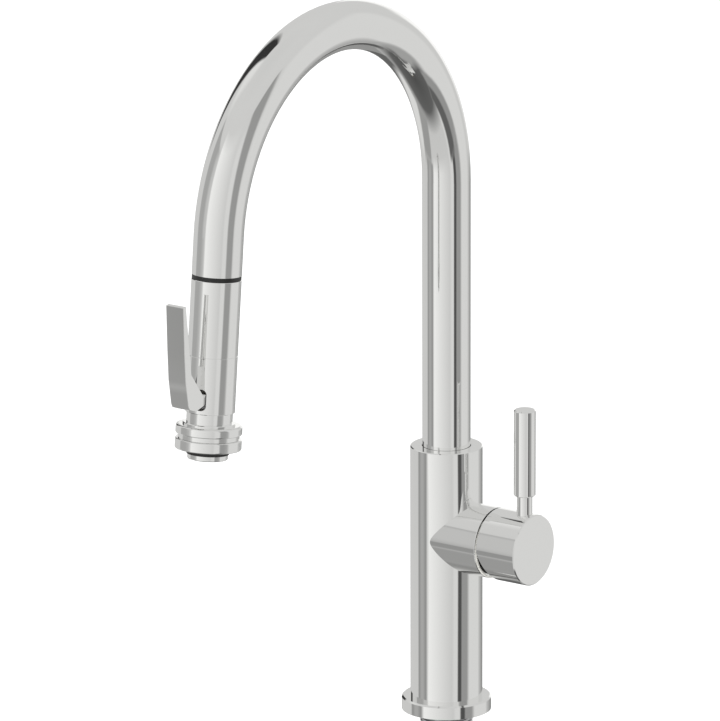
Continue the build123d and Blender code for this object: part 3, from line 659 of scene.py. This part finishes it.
# ---- repeated pieces ----------------------------------------------------------------
def geometry_tree(name: str, inputs: Sequence[tuple[str, str, object]]):
    """Make a geometry node tree with a geometry input and output and named inputs.

    Args:
        name: the tree's name.
        inputs: name, socket type and default value of each further input.

    Returns:
        The tree, its input node and its output node.
    """
    tree = bpy.data.node_groups.new(name, "GeometryNodeTree")
    tree.interface.new_socket("Geometry", in_out="INPUT", socket_type="NodeSocketGeometry")
    for label, kind, value in inputs:
        socket = tree.interface.new_socket(label, in_out="INPUT", socket_type=kind)
        if value is not None:
            socket.default_value = value
    tree.interface.new_socket("Geometry", in_out="OUTPUT", socket_type="NodeSocketGeometry")
    return tree, tree.nodes.new("NodeGroupInput"), tree.nodes.new("NodeGroupOutput")


def finish_tree(tree, start, end, pieces) -> None:
    """Place the pieces, join what came in, realize it and set its material."""
    placed = tree.nodes.new("GeometryNodeTransform")
    joined = tree.nodes.new("GeometryNodeJoinGeometry")
    real = tree.nodes.new("GeometryNodeRealizeInstances")
    dressed = tree.nodes.new("GeometryNodeSetMaterial")
    link_all(
        tree,
        (pieces, placed.inputs["Geometry"]),
        (start.outputs["Place"], placed.inputs["Translation"]),
        (start.outputs["Turn"], placed.inputs["Rotation"]),
        (placed.outputs[0], joined.inputs[0]),
        (start.outputs["Geometry"], joined.inputs[0]),
        (joined.outputs[0], real.inputs[0]),
        (real.outputs[0], dressed.inputs["Geometry"]),
        (start.outputs["Material"], dressed.inputs["Material"]),
        (dressed.outputs[0], end.inputs["Geometry"]),
    )


PLACE_INPUTS = (
    ("Place", "NodeSocketVector", (0.0, 0.0, 0.0)),
    ("Turn", "NodeSocketRotation", None),
    ("Material", "NodeSocketMaterial", None),
)


def ring_tree():
    """Tree that stands copies of one piece round a circle."""
    tree, start, end = geometry_tree("ring_of_pieces", (
        ("Count", "NodeSocketInt", 6),
        ("Radius", "NodeSocketFloat", 0.003),
        ("Piece", "NodeSocketObject", None),
        *PLACE_INPUTS,
    ))
    circle = tree.nodes.new("GeometryNodeMeshCircle")
    copies = tree.nodes.new("GeometryNodeInstanceOnPoints")
    piece = tree.nodes.new("GeometryNodeObjectInfo")
    tree.links.new(start.outputs["Count"], circle.inputs["Vertices"])
    tree.links.new(start.outputs["Radius"], circle.inputs["Radius"])
    tree.links.new(start.outputs["Piece"], piece.inputs["Object"])
    tree.links.new(circle.outputs[0], copies.inputs["Points"])
    tree.links.new(piece.outputs["Geometry"], copies.inputs["Instance"])
    finish_tree(tree, start, end, copies.outputs[0])
    return tree


def coil_tree():
    """Tree that winds a wire into a round coil along Z."""
    tree, start, end = geometry_tree("wound_coil", (
        ("Turns", "NodeSocketFloat", 5.0),
        ("Radius", "NodeSocketFloat", 0.003),
        ("Height", "NodeSocketFloat", 0.005),
        ("Wire Radius", "NodeSocketFloat", 0.0004),
        *PLACE_INPUTS,
    ))
    spiral = tree.nodes.new("GeometryNodeCurveSpiral")
    spiral.inputs["Resolution"].default_value = 40
    section = tree.nodes.new("GeometryNodeCurvePrimitiveCircle")
    section.inputs["Resolution"].default_value = 12
    wire = tree.nodes.new("GeometryNodeCurveToMesh")
    wire.inputs["Fill Caps"].default_value = True
    tree.links.new(start.outputs["Turns"], spiral.inputs["Rotations"])
    tree.links.new(start.outputs["Radius"], spiral.inputs["Start Radius"])
    tree.links.new(start.outputs["Radius"], spiral.inputs["End Radius"])
    tree.links.new(start.outputs["Height"], spiral.inputs["Height"])
    tree.links.new(start.outputs["Wire Radius"], section.inputs["Radius"])
    tree.links.new(spiral.outputs[0], wire.inputs["Curve"])
    tree.links.new(section.outputs[0], wire.inputs["Profile Curve"])
    finish_tree(tree, start, end, wire.outputs[0])
    return tree


def grown(name: str, tree, rounds: Sequence[dict[str, object]]) -> bpy.types.Object:
    """Run a geometry node tree once for each round and keep the result as a plain mesh.

    Args:
        name: the new piece's name.
        tree: the tree to run.
        rounds: input values by name, one set for each run; every run adds to the last.

    Returns:
        The piece.
    """
    piece = linked(name, bpy.data.meshes.new(name + "_start"))
    identifiers = {
        item.name: item.identifier for item in tree.interface.items_tree
        if item.item_type == "SOCKET" and item.in_out == "INPUT"
    }
    for values in rounds:
        modifier = piece.modifiers.new(tree.name, "NODES")
        modifier.node_group = tree
        for label, value in values.items():
            modifier[identifiers[label]] = value
    plain_mesh(piece)
    smooth_mesh(piece.data)
    return piece


def placed_inputs(place: Matrix, material: bpy.types.Material) -> dict[str, object]:
    """Return a placement and a material as a geometry tree's inputs."""
    return {"Place": tuple(place.translation), "Turn": tuple(place.to_euler()), "Material": material}


# ---- sub-assemblies -----------------------------------------------------------------
@dataclass
class SubAssembly:
    """Shared work of every sub-assembly: dressing CAD nodes and fitting new pieces."""

    materials: dict[Finish, bpy.types.Material]

    def dress_nodes(self, body: str) -> None:
        """Give every CAD node of a body the finish that the record names."""
        slots = {row["node"]: row["material_slot"] for row in frame["record"]["subparts"]}
        for node in frame["record"]["behaviour"]["bodies"][body]:
            mesh = frame["nodes"][node].data
            mesh.materials.clear()
            mesh.materials.append(self.materials[Finish(slots[node])])
            LOG.info("%s: %s in %s", body, node, slots[node])

    def fit(self, piece: bpy.types.Object, body: str, finish: Finish, *nodes: str) -> None:
        """Dress a new piece, set what it rides on and hide the CAD nodes it stands for."""
        piece.data.materials.clear()
        piece.data.materials.append(self.materials[finish])
        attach(piece, body)
        if nodes:
            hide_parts(*nodes)
        LOG.info("%s: made %s in %s, %d faces", body, piece.name, finish.value, len(piece.data.polygons))


@dataclass
class BaseFixings(SubAssembly):
    """Threaded shank, nut, clamp screws and threaded water ends below the deck."""

    shank_pitch: float = 2.0 * MM
    shank_depth: float = 0.9 * MM
    nipple_pitch: float = 1.0 * MM
    nipple_depth: float = 0.5 * MM
    screw_pitch: float = 0.8 * MM
    screw_depth: float = 0.45 * MM
    head_share: float = 3.5 / 27.5         # height of a clamp screw's head in its whole length
    shaft_share: float = 0.625             # shaft's width in the head's
    nut_round: float = 0.5 * MM

    def node_thread(self, node: str, bore: float, pitch: float, depth: float) -> tuple[Thread, Vector]:
        """Return the thread that fits a round upright CAD node, and the node's middle."""
        low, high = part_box(node)
        middle = (low + high) / 2.0
        height = (high.z - low.z) / 2.0
        return Thread((high.x - low.x) / 2.0, bore, -height, height, pitch, depth), middle

    def threaded(self, node: str, bore: float, pitch: float, depth: float, body: str, finish: Finish) -> None:
        """Replace a round CAD node by the same tube with a real thread."""
        thread, middle = self.node_thread(node, bore, pitch, depth)
        builder = bmesh.new()
        thread.build(builder)
        self.fit(piece_from(node + "_cut", builder, Matrix.Translation(middle)), body, finish, node)

    def bore_of(self, node: str) -> float:
        """Return the smallest radius of a round upright CAD node about its own axis."""
        low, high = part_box(node)
        middle = (low + high) / 2.0
        return min((vertex.co - middle).xy.length for vertex in frame["nodes"][node].data.vertices)

    def clamp_screws(self) -> None:
        """Make one threaded screw and stand three of them round the nut."""
        low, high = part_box("clamp_screws")
        rows = [vertex.co for vertex in frame["nodes"]["clamp_screws"].data.vertices]
        # One of the three screws stands on +Y; the shares pick out its vertices.
        first = [place for place in rows if place.y > 0.3 * high.y and abs(place.x) < 0.4 * high.x]
        circle = (min(place.y for place in first) + max(place.y for place in first)) / 2.0
        flats = max(place.y for place in first) - min(place.y for place in first)
        head_high = low.z + (high.z - low.z) * self.head_share
        width = min(flats, 2.0 * max(abs(place.x) for place in first))
        builder = bmesh.new()
        HexHead(width, low.z, head_high).build(builder)
        shaft = width * self.shaft_share / 2.0
        Thread(
            shaft, 0.0, head_high, high.z, self.screw_pitch, self.screw_depth, sides=32, steps=6
        ).build(builder)
        pattern = piece_from("screw_pattern", builder)
        screws = grown("clamp_screws_cut", ring_tree(), [{
            "Count": 3, "Radius": circle, "Piece": pattern, "Place": (0.0, 0.0, 0.0),
            "Turn": (0.0, 0.0, math.pi / 2.0), "Material": self.materials[Finish.STEEL],
        }])
        bpy.data.objects.remove(pattern)
        self.fit(screws, "faucet_base", Finish.STEEL, "clamp_screws")

    def build(self) -> None:
        """Build every piece below the deck."""
        self.dress_nodes("faucet_base")
        base = "faucet_base"
        shank = "threaded_shank"
        self.threaded(shank, self.bore_of(shank), self.shank_pitch, self.shank_depth, base, Finish.STEEL)
        for node in ("hot_inlet_nipple", "cold_inlet_nipple", "mixed_outlet_nipple"):
            self.threaded(node, self.bore_of(node), self.nipple_pitch, self.nipple_depth, base, Finish.BRASS)
        self.clamp_screws()
        nut = softened("mounting_nut", "mounting_nut_round", self.nut_round)
        self.fit(nut, base, Finish.BRASS, "mounting_nut")


@dataclass
class MixingValve(SubAssembly):
    """Cartridge carrier, ceramic disc and the side handle with its upright lever."""

    rim_inset: float = 1.3 * MM          # seam ring's edge inside the boss's edge
    ring_drop: float = 1.15 * MM         # its middle below the boss's, so that it shows only low in the seam, where its pale nylon is a painted highlight
    ring_width: float = 1.2 * MM
    ring_height: float = 0.6 * MM
    ring_round: float = 0.2 * MM
    ring_sides: int = 128

    def seam_ring(self) -> None:
        """Turn the pale ring in the seam between the boss and the handle; set low, its pale nylon is a painted
        highlight along the seam's lower half.
        """
        low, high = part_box("handle_cap")
        washer_low, washer_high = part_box("seam_washer")
        middle = (washer_low + washer_high) / 2.0
        outer = (high.y - low.y) / 2.0 - self.rim_inset
        inner, tall, soft = outer - self.ring_width, self.ring_height, self.ring_round
        cut = 0.3 * soft
        profile = ((inner, 0.0), (outer, 0.0), (outer, tall - soft), (outer - cut, tall - cut),
                   (outer - soft, tall), (inner, tall))
        builder = bmesh.new()
        turned_mesh(builder, profile, self.ring_sides)
        # Dropped below the boss's middle, the pale ring shows only low in the seam, as a painted highlight there.
        foot = Vector((washer_low.x, middle.y, middle.z - self.ring_drop))
        place = line_place(foot, Vector((1.0, 0.0, 0.0)))
        self.fit(piece_from("seam_ring", builder, place), "faucet_base", Finish.NYLON)

    def build(self) -> None:
        """Dress the valve and the handle."""
        for body in ("valve_carrier", "mixing_disc", "handle"):
            self.dress_nodes(body)
        self.seam_ring()


@dataclass
class SpoutAndHose(SubAssembly):
    """Bent spout tube with the braided hose that runs through it."""

    head: HeadLine
    pull: float                         # how far the hose can be pulled out
    sides: int = 40
    arch_rows: int = 90
    straight_rows: int = 220
    blend_margin: float = 1.0 * MM
    hose_radius: float = 5.5 * MM
    bore_radius: float = 3.2 * MM

    def arch_top(self) -> float:
        """Return the height of the bend's middle line at its top."""
        low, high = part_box("spout_tube")
        return high.z - (high.x - low.x) / 2.0

    def arch_radius(self) -> float:
        """Return the radius of the spout's bend, tangent to the column and to the head's line."""
        top = self.arch_top()
        out = Vector((0.0, self.head.along.z, -self.head.along.y))
        point = self.head.point
        return (point.y * out.y - (top - point.z) * out.z) / (1.0 - out.y - out.z)

    def path(self) -> tuple[list[tuple[Vector, Vector]], Vector]:
        """Return (place, direction) steps from the hose's lower end to the end of the bend, and that end."""
        radius = self.arch_radius()
        start = self.arch_top() - radius
        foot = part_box("spray_hose")[0].z
        sweep = math.pi - math.acos(min(1.0, -self.head.along.z))
        up = Vector((0.0, 0.0, 1.0))
        steps = [(Vector((0.0, 0.0, foot)), up), (Vector((0.0, 0.0, (foot + start) / 2.0)), up)]
        for row in range(self.arch_rows + 1):
            angle = sweep * row / self.arch_rows
            place = Vector((0.0, -radius * (1.0 - math.cos(angle)), start + radius * math.sin(angle)))
            steps.append((place, Vector((0.0, -math.sin(angle), math.cos(angle)))))
        return steps, steps[-1][0]

    def tube(
        self, name: str, steps: Sequence[tuple[Vector, Vector]], lengths: Sequence[float]
    ) -> bpy.types.Object:
        """Make a tube along steps, with its round and its length in metres as UV."""
        builder = bmesh.new()
        layer = builder.loops.layers.uv.new("braid")
        rings = []
        for radius, course in ((self.hose_radius, steps), (self.bore_radius, steps[::-1])):
            for place, along in course:
                turn = line_place(place, along)
                rings.append([
                    builder.verts.new(turn @ round_point(radius, math.tau * side / self.sides))
                    for side in range(self.sides)
                ])
        marks = list(lengths) + list(reversed(lengths))
        for row, low in enumerate(rings):
            after_row = (row + 1) % len(rings)
            high = rings[after_row]
            for side in range(self.sides):
                after = (side + 1) % self.sides
                face = builder.faces.new((low[side], low[after], high[after], high[side]))
                around = side / self.sides, (side + 1) / self.sides
                values = ((around[0], marks[row]), (around[1], marks[row]),
                          (around[1], marks[after_row]), (around[0], marks[after_row]))
                for loop, value in zip(face.loops, values):
                    loop[layer].uv = value
        bmesh.ops.recalc_face_normals(builder, faces=builder.faces)
        mesh = bpy.data.meshes.new(name)
        builder.to_mesh(mesh)
        builder.free()
        smooth_mesh(mesh)
        return linked(name, mesh)

    def hose(self) -> None:
        """Make the hose in the spout and the stretch at the dock that is pulled out."""
        steps, bend_end = self.path()
        lengths = [0.0]
        for (before, _), (after, _) in zip(steps, steps[1:]):
            lengths.append(lengths[-1] + (after - before).length)
        inner = self.tube("spray_hose_in_spout", steps, lengths)
        self.fit(inner, "spout", Finish.HOSE, "spray_hose")
        end = self.head.at(self.head.reach(bend_end) + self.seat_depth())
        margin = self.head.along * self.blend_margin
        first, last = bend_end + margin, end - margin
        stretch, marks = [], []
        for row in range(self.straight_rows + 1):
            share = row / self.straight_rows
            place = bend_end.lerp(end, share)
            along = (place - first).dot(self.head.along) / (last - first).length
            part = min(max(along, 0.0), 1.0)
            stretch.append((place, self.head.along))
            pulled = self.pull * part * part * (3.0 - 2.0 * part)
            marks.append(lengths[-1] + share * (end - bend_end).length + pulled)
        outer = self.tube("spray_hose_at_dock", stretch, marks)
        outer.data.materials.append(self.materials[Finish.HOSE])
        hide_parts("spray_hose")
        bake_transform(outer)
        LOG.info("spout to hose_end: made %s, %d faces", outer.name, len(outer.data.polygons))

    def seat_depth(self) -> float:
        """Return how far the hose runs past the bend's end, to its seat in the ferrule."""
        bend_end = self.path()[1]
        places = [vertex.co for vertex in frame["nodes"]["spray_hose"].data.vertices]
        near = [place for place in places if (place - bend_end).length < 4.0 * self.hose_radius]
        return max(self.head.reach(place) for place in near) - self.head.reach(bend_end)

    def build(self) -> None:
        """Dress the spout and make the hose."""
        self.dress_nodes("spout")
        self.dress_nodes("hose_end")
        self.hose()


@dataclass
class SprayHead(SubAssembly):
    """Spray head with its grip rings, spray nozzle, squeeze lever and return spring."""

    head: HeadLine
    nub_rows: tuple[tuple[float, int], ...] = ((0.0, 1), (3.0, 6), (6.0, 12), (8.7, 18))
    nub_radius: float = 1.25 * MM
    nub_hole: float = 0.8 * MM
    nub_height: float = 0.6 * MM
    nub_waist: float = 0.94          # width half way up, in the foot's
    nub_tip: float = 0.78            # width of the tip, in the foot's
    nub_sides: int = 14
    lever_round: float = 0.35 * MM
    spring_turns: float = 5.0
    wire_radius: float = 0.45 * MM

    def spray_nubs(self) -> None:
        """Stand soft rubber nubs round the holes of the spray plate."""
        end = self.head.span("spray_plate")[1]
        builder = bmesh.new()
        foot, tall = self.nub_radius, self.nub_height
        profile = ((self.nub_hole, 0.0), (foot, 0.0), (foot * self.nub_waist, tall * 0.5),
                   (foot * self.nub_tip, tall), (self.nub_hole, tall))
        turned_mesh(builder, profile, self.nub_sides)
        pattern = piece_from("nub_pattern", builder)
        place = line_place(self.head.at(end), self.head.along)
        placed = placed_inputs(place, self.materials[Finish.RUBBER])
        rounds = [
            {"Count": max(count, 3), "Radius": radius * MM, "Piece": pattern} | placed
            for radius, count in self.nub_rows
        ]
        nubs = grown("spray_nubs", ring_tree(), rounds)
        bpy.data.objects.remove(pattern)
        builder = bmesh.new()
        builder.from_mesh(nubs.data)
        bmesh.ops.remove_doubles(builder, verts=builder.verts, dist=1e-6)
        builder.to_mesh(nubs.data)
        builder.free()
        self.fit(nubs, "spray_nozzle", Finish.RUBBER)

    def return_spring(self) -> None:
        """Wind the spring under the valve plunger."""
        start, end = self.head.span("return_spring")
        places = [vertex.co for vertex in frame["nodes"]["return_spring"].data.vertices]
        out = self.head.along.cross(Vector((1.0, 0.0, 0.0)))
        offsets = [(place - self.head.point).dot(out) for place in places]
        middle = (min(offsets) + max(offsets)) / 2.0
        radius = (max(offsets) - min(offsets)) / 2.0 - self.wire_radius
        place = line_place(self.head.at(start + self.wire_radius) + out * middle, self.head.along)
        spring = grown("return_spring_wound", coil_tree(), [{
            "Turns": self.spring_turns, "Radius": radius, "Height": end - start - 2.0 * self.wire_radius,
            "Wire Radius": self.wire_radius,
        } | placed_inputs(place, self.materials[Finish.STEEL])])
        spring.data.materials.clear()
        spring.data.materials.append(self.materials[Finish.STEEL])
        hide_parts("return_spring")
        self.head.at(start) + out * middle
        self.head.at(end) + out * middle
        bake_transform(spring)
        LOG.info("spray_head: made %s, %d faces", spring.name, len(spring.data.polygons))

    def build(self) -> None:
        """Dress the head and make its fine pieces."""
        for body in ("spray_head", "spray_nozzle", "squeeze_lever", "valve_plunger"):
            self.dress_nodes(body)
        self.spray_nubs()
        self.return_spring()
        lever = softened("squeeze_lever", "squeeze_lever_round", self.lever_round)
        self.fit(lever, "squeeze_lever", Finish.CHROME, "squeeze_lever")


# ---- studio -------------------------------------------------------------------------
@dataclass(frozen=True)
class Board:
    """A board or wash of light in the studio, by the directions that it covers, in degrees.

    Sides are counted from the camera's side, to its right; low and high are above the horizon.
    """

    left: float
    right: float
    low: float
    high: float
    light: float
    soft: float = 5.0            # width of its left edge, and of its right edge when fade is 0
    fade: float = 0.0            # width of its right edge
    blur: float = 3.0            # height of its top and bottom edges
    lean: float = 0.0            # degrees that its sides move right for each degree up


WALL_LIGHT = ((-90.0, 0.08), (-62.0, 0.12), (-46.0, 0.58), (0.0, 0.62), (60.0, 0.64), (90.0, 0.62))
FRONT_BOARDS = (    # the first is the key light, fading to the right, and the third the fill light
    Board(-63.0, -20.0, -25.0, 42.0, 0.88, soft=5.0, fade=75.0, blur=10.0),
    Board(20.0, 42.0, -50.0, 30.0, 0.69, soft=8.0, blur=10.0),
    Board(75.0, 125.0, -50.0, 30.0, 0.69, soft=8.0, blur=10.0),
    Board(-150.0, -112.0, 34.0, 62.0, 0.76, soft=20.0, blur=10.0),
)
LEFT_BOARDS = (
    Board(-111.0, -70.0, -12.5, 33.0, 0.39, soft=5.0, blur=2.0),
    Board(-80.0, -66.0, -6.0, 32.0, 0.54, soft=9.0, blur=9.0),
    Board(-102.0, -67.0, -25.0, -12.5, 0.30, soft=5.0, blur=2.0),
    Board(-93.0, -77.0, -25.0, -12.5, 0.40, soft=8.0, blur=2.0),
    Board(-115.0, -73.0, -56.0, -24.0, 0.33, soft=6.0, blur=8.0),
    Board(-162.0, -142.0, 2.0, 62.0, 0.035, soft=5.0, lean=0.1),
)
RIGHT_BOARDS = (
    Board(40.0, 70.0, -12.5, 38.0, 0.32, soft=6.0, blur=2.0),
    Board(36.0, 72.0, -25.0, -12.5, 0.31, soft=5.0, fade=9.0, blur=2.0),
    Board(36.0, 48.0, -25.0, -12.5, 0.08, soft=4.0, blur=2.0),
    Board(27.0, 74.0, -62.0, -24.0, 0.30, soft=6.0, blur=4.0),
    Board(28.0, 53.0, -62.0, -24.0, 0.12, soft=6.0, blur=4.0),
)
BACK_BOARDS = (
    Board(135.0, 230.0, -50.0, -12.5, 0.30, soft=30.0, blur=2.0),
    Board(-230.0, -169.0, -25.0, -12.5, 0.30, soft=20.0, blur=2.0),
    Board(-154.0, -119.0, -50.0, -22.0, 0.72, soft=6.0, blur=6.0),
    Board(-230.0, -160.0, -52.0, -22.0, 0.13, soft=10.0, blur=6.0),
    Board(85.0, 130.0, -72.0, -50.0, 0.36, soft=15.0, blur=8.0),
    Board(148.0, 230.0, -9.0, 11.0, 1.0, soft=9.0, blur=8.0),                   # pale backdrop
)


def edge_step(tree, value, place, width, way: float):
    """Add a soft step of a value at a place; way 1 rises and way -1 falls."""
    past = math_node(tree, "SUBTRACT", value, place)
    share = math_node(tree, "MULTIPLY", math_node(tree, "DIVIDE", past, width), way)
    step = math_node(tree, "ADD", share, 0.5)
    step.node.use_clamp = True
    return step


def board_group():
    """Group for one board: its light over what lies behind it, by a direction's side and rise."""
    tree, start, end = new_group(
        "studio_board",
        (("Behind", 0.6), ("Side", 0.0), ("Rise", 0.0), ("Left", 0.0), ("Right", 0.0), ("Low", 0.0),
         ("High", 0.0), ("Light", 0.6), ("Soft", 5.0), ("Fade", 5.0), ("Blur", 3.0), ("Lean", 0.0)),
        (("Light", "NodeSocketFloat"),),
    )
    given = start.outputs
    shift = math_node(tree, "MULTIPLY", given["Rise"], given["Lean"])
    side = math_node(tree, "SUBTRACT", given["Side"], shift)
    cover = math_node(
        tree, "MULTIPLY",
        edge_step(tree, side, given["Left"], given["Soft"], 1.0),
        edge_step(tree, side, given["Right"], given["Fade"], -1.0),
    )
    for place, way in ((given["Low"], 1.0), (given["High"], -1.0)):
        step = edge_step(tree, given["Rise"], place, given["Blur"], way)
        cover = math_node(tree, "MULTIPLY", cover, step)
    change = math_node(tree, "SUBTRACT", given["Light"], given["Behind"])
    lit = math_node(tree, "ADD", given["Behind"], math_node(tree, "MULTIPLY", change, cover))
    tree.links.new(lit, end.inputs["Light"])
    return tree


@dataclass
class Studio:
    """Camera, light surroundings and floor."""

    azimuth: float = 36.192          # degrees round the object, from the front
    pitch: float = 14.847            # degrees down
    distance: float = 5.3363
    height: float = 1.6388
    sideways: float = -0.05347
    roll: float = 0.153
    lens: float = 445.56             # millimetres, on a sensor 36 mm across
    sensor: float = 36.0
    warmth: Color = (1.0, 1.0, 0.985)
    floor_level: float = -0.26       # below the deck, so that the pulled-out spray head can be seen
    floor_size: float = 30.0
    plain_light: float = 1.1         # for every ray that isn't a reflection
    lamp_place: tuple[float, float, float] = (-0.8, -1.6, 2.6)
    lamp_aim: tuple[float, float, float] = (0.0, -0.1, 0.2)
    lamp_size: float = 2.5
    lamp_power: float = 40.0

    def camera(self) -> bpy.types.Object:
        """Make the camera and return it."""
        turn = math.radians(self.azimuth)
        right = Vector((math.cos(turn), math.sin(turn), 0))
        toward = Vector((math.sin(turn), -math.cos(turn), 0))
        place = toward * self.distance + Vector((0, 0, self.height)) + right * self.sideways
        down = math.radians(self.pitch)
        look = -toward * math.cos(down) - Vector((0, 0, math.sin(down)))
        up = right.cross(look)
        tilt = Matrix.Rotation(math.radians(self.roll), 3, look)
        side, top = tilt @ right, tilt @ up
        data = bpy.data.cameras.new("camera")
        data.sensor_width = self.sensor
        data.sensor_fit = "AUTO"
        data.lens = self.lens
        data.clip_start, data.clip_end = 0.05, 100.0
        camera = linked("camera", data)
        camera.matrix_world = Matrix((
            (side.x, top.x, -look.x, place.x),
            (side.y, top.y, -look.y, place.y),
            (side.z, top.z, -look.z, place.z),
            (0, 0, 0, 1),
        ))
        bpy.context.scene.camera = camera
        return camera

    def wall_light(self, tree, rise):
        """Add the walls' light by height and return it."""
        ramp = tree.nodes.new("ShaderNodeValToRGB")
        elements = ramp.color_ramp.elements
        while len(elements) > 1:
            elements.remove(elements[-1])
        for index, (degrees, light) in enumerate(WALL_LIGHT):
            position = (degrees + 90.0) / 180.0
            element = elements[0] if index == 0 else elements.new(position)
            element.position = position
            element.color = (light, light, light, 1.0)
        tree.links.new(map_range(tree, rise, -90.0, 90.0, 0.0, 1.0), ramp.inputs[0])
        return ramp.outputs[0]

    def stand_boards(self, tree, side, rise, light):
        """Lay every board over the walls and return the light."""
        group = board_group()
        for board in (*FRONT_BOARDS, *LEFT_BOARDS, *RIGHT_BOARDS, *BACK_BOARDS):
            node = tree.nodes.new("ShaderNodeGroup")
            node.node_tree = group
            for label, value in vars(board).items():
                node.inputs[label.capitalize()].default_value = value
            node.inputs["Fade"].default_value = board.fade or board.soft
            for label, socket in (("Behind", light), ("Side", side), ("Rise", rise)):
                tree.links.new(socket, node.inputs[label])
            light = node.outputs["Light"]
        return light

    def surroundings(self) -> None:
        """Make the studio: walls and boards seen only in reflections, and plain light elsewhere."""
        world = bpy.data.worlds.new("studio")
        world.use_nodes = True
        world.cycles.sampling_method = "MANUAL"
        world.cycles.sample_map_resolution = 512
        bpy.context.scene.world = world
        tree = world.node_tree
        background = tree.nodes["Background"]
        place = tree.nodes.new("ShaderNodeTexCoord").outputs["Generated"]
        turned = tree.nodes.new("ShaderNodeVectorRotate")
        turned.rotation_type = "Z_AXIS"
        turned.inputs["Angle"].default_value = -math.radians(self.azimuth)
        tree.links.new(place, turned.inputs["Vector"])
        parts = tree.nodes.new("ShaderNodeSeparateXYZ")
        tree.links.new(turned.outputs[0], parts.inputs[0])
        # In this turned frame the camera's side is -Y and its right is +X.
        behind = math_node(tree, "MULTIPLY", parts.outputs["Y"], -1.0)
        angle = math_node(tree, "ARCTAN2", parts.outputs["X"], behind)
        lift = math_node(tree, "ARCSINE", parts.outputs["Z"], 0.0)
        side, rise = (math_node(tree, "MULTIPLY", turn, math.degrees(1.0)) for turn in (angle, lift))
        light = self.stand_boards(tree, side, rise, self.wall_light(tree, rise))
        tint = tree.nodes.new("ShaderNodeVectorMath")
        tint.operation = "SCALE"
        tint.inputs[0].default_value = self.warmth
        tree.links.new(light, tint.inputs["Scale"])
        rays = tree.nodes.new("ShaderNodeLightPath")
        plain = tree.nodes.new("ShaderNodeMix")
        plain.data_type = "RGBA"
        plain.inputs[6].default_value = (*grey(self.plain_light), 1.0)
        tree.links.new(rays.outputs["Is Glossy Ray"], plain.inputs[0])
        tree.links.new(tint.outputs[0], plain.inputs[7])
        tree.links.new(plain.outputs[2], background.inputs["Color"])

    def floor(self) -> bpy.types.Object:
        """Make the plain pale floor and return it."""
        mesh = bpy.data.meshes.new("floor")
        builder = bmesh.new()
        bmesh.ops.create_grid(builder, x_segments=8, y_segments=8, size=self.floor_size)
        bmesh.ops.translate(builder, verts=builder.verts, vec=(0, 0, self.floor_level))
        builder.to_mesh(mesh)
        builder.free()
        floor = linked("floor", mesh)
        material = bpy.data.materials.new("pale_floor")
        material.use_nodes = True
        shader = material.node_tree.nodes["Principled BSDF"]
        looks = {
            "Base Color": (*grey(0.8), 1.0), "Roughness": 0.9, "Specular IOR Level": 0.0,
            "Emission Color": (*grey(1.0), 1.0), "Emission Strength": 0.25,
        }
        for label, value in looks.items():
            shader.inputs[label].default_value = value
        mesh.materials.append(material)
        floor.visible_glossy = False
        return floor

    def lamp(self) -> None:
        """Make one large soft lamp overhead for the dull pieces and the floor's shade."""
        data = bpy.data.lights.new("soft_lamp", "AREA")
        data.shape = "DISK"
        data.size = self.lamp_size
        data.energy = self.lamp_power
        lamp = linked("soft_lamp", data)
        lamp.location = self.lamp_place
        lamp.rotation_euler = (Vector(self.lamp_aim) - lamp.location).to_track_quat("-Z", "Y").to_euler()
        lamp.visible_glossy = False

    def build(self) -> None:
        """Build the whole studio."""
        scene = bpy.context.scene
        scene.view_settings.view_transform = "Standard"
        self.camera()
        self.surroundings()
        self.floor()
        self.lamp()


def main() -> None:
    """Build the studio, then the faucet round its frame."""
    logging.basicConfig(level=logging.INFO, format="%(message)s")
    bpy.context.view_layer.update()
    kit = MaterialKit()
    materials = {finish: look.build(kit) for finish, look in FINISHES.items()}
    head = HeadLine.from_frame()
    Studio().build()
    BaseFixings(materials).build()
    MixingValve(materials).build()
    SpoutAndHose(materials, head, joint("head_pull")["range_m"][1]).build()
    SprayHead(materials, head).build()


if __name__ == "__main__":
    main()
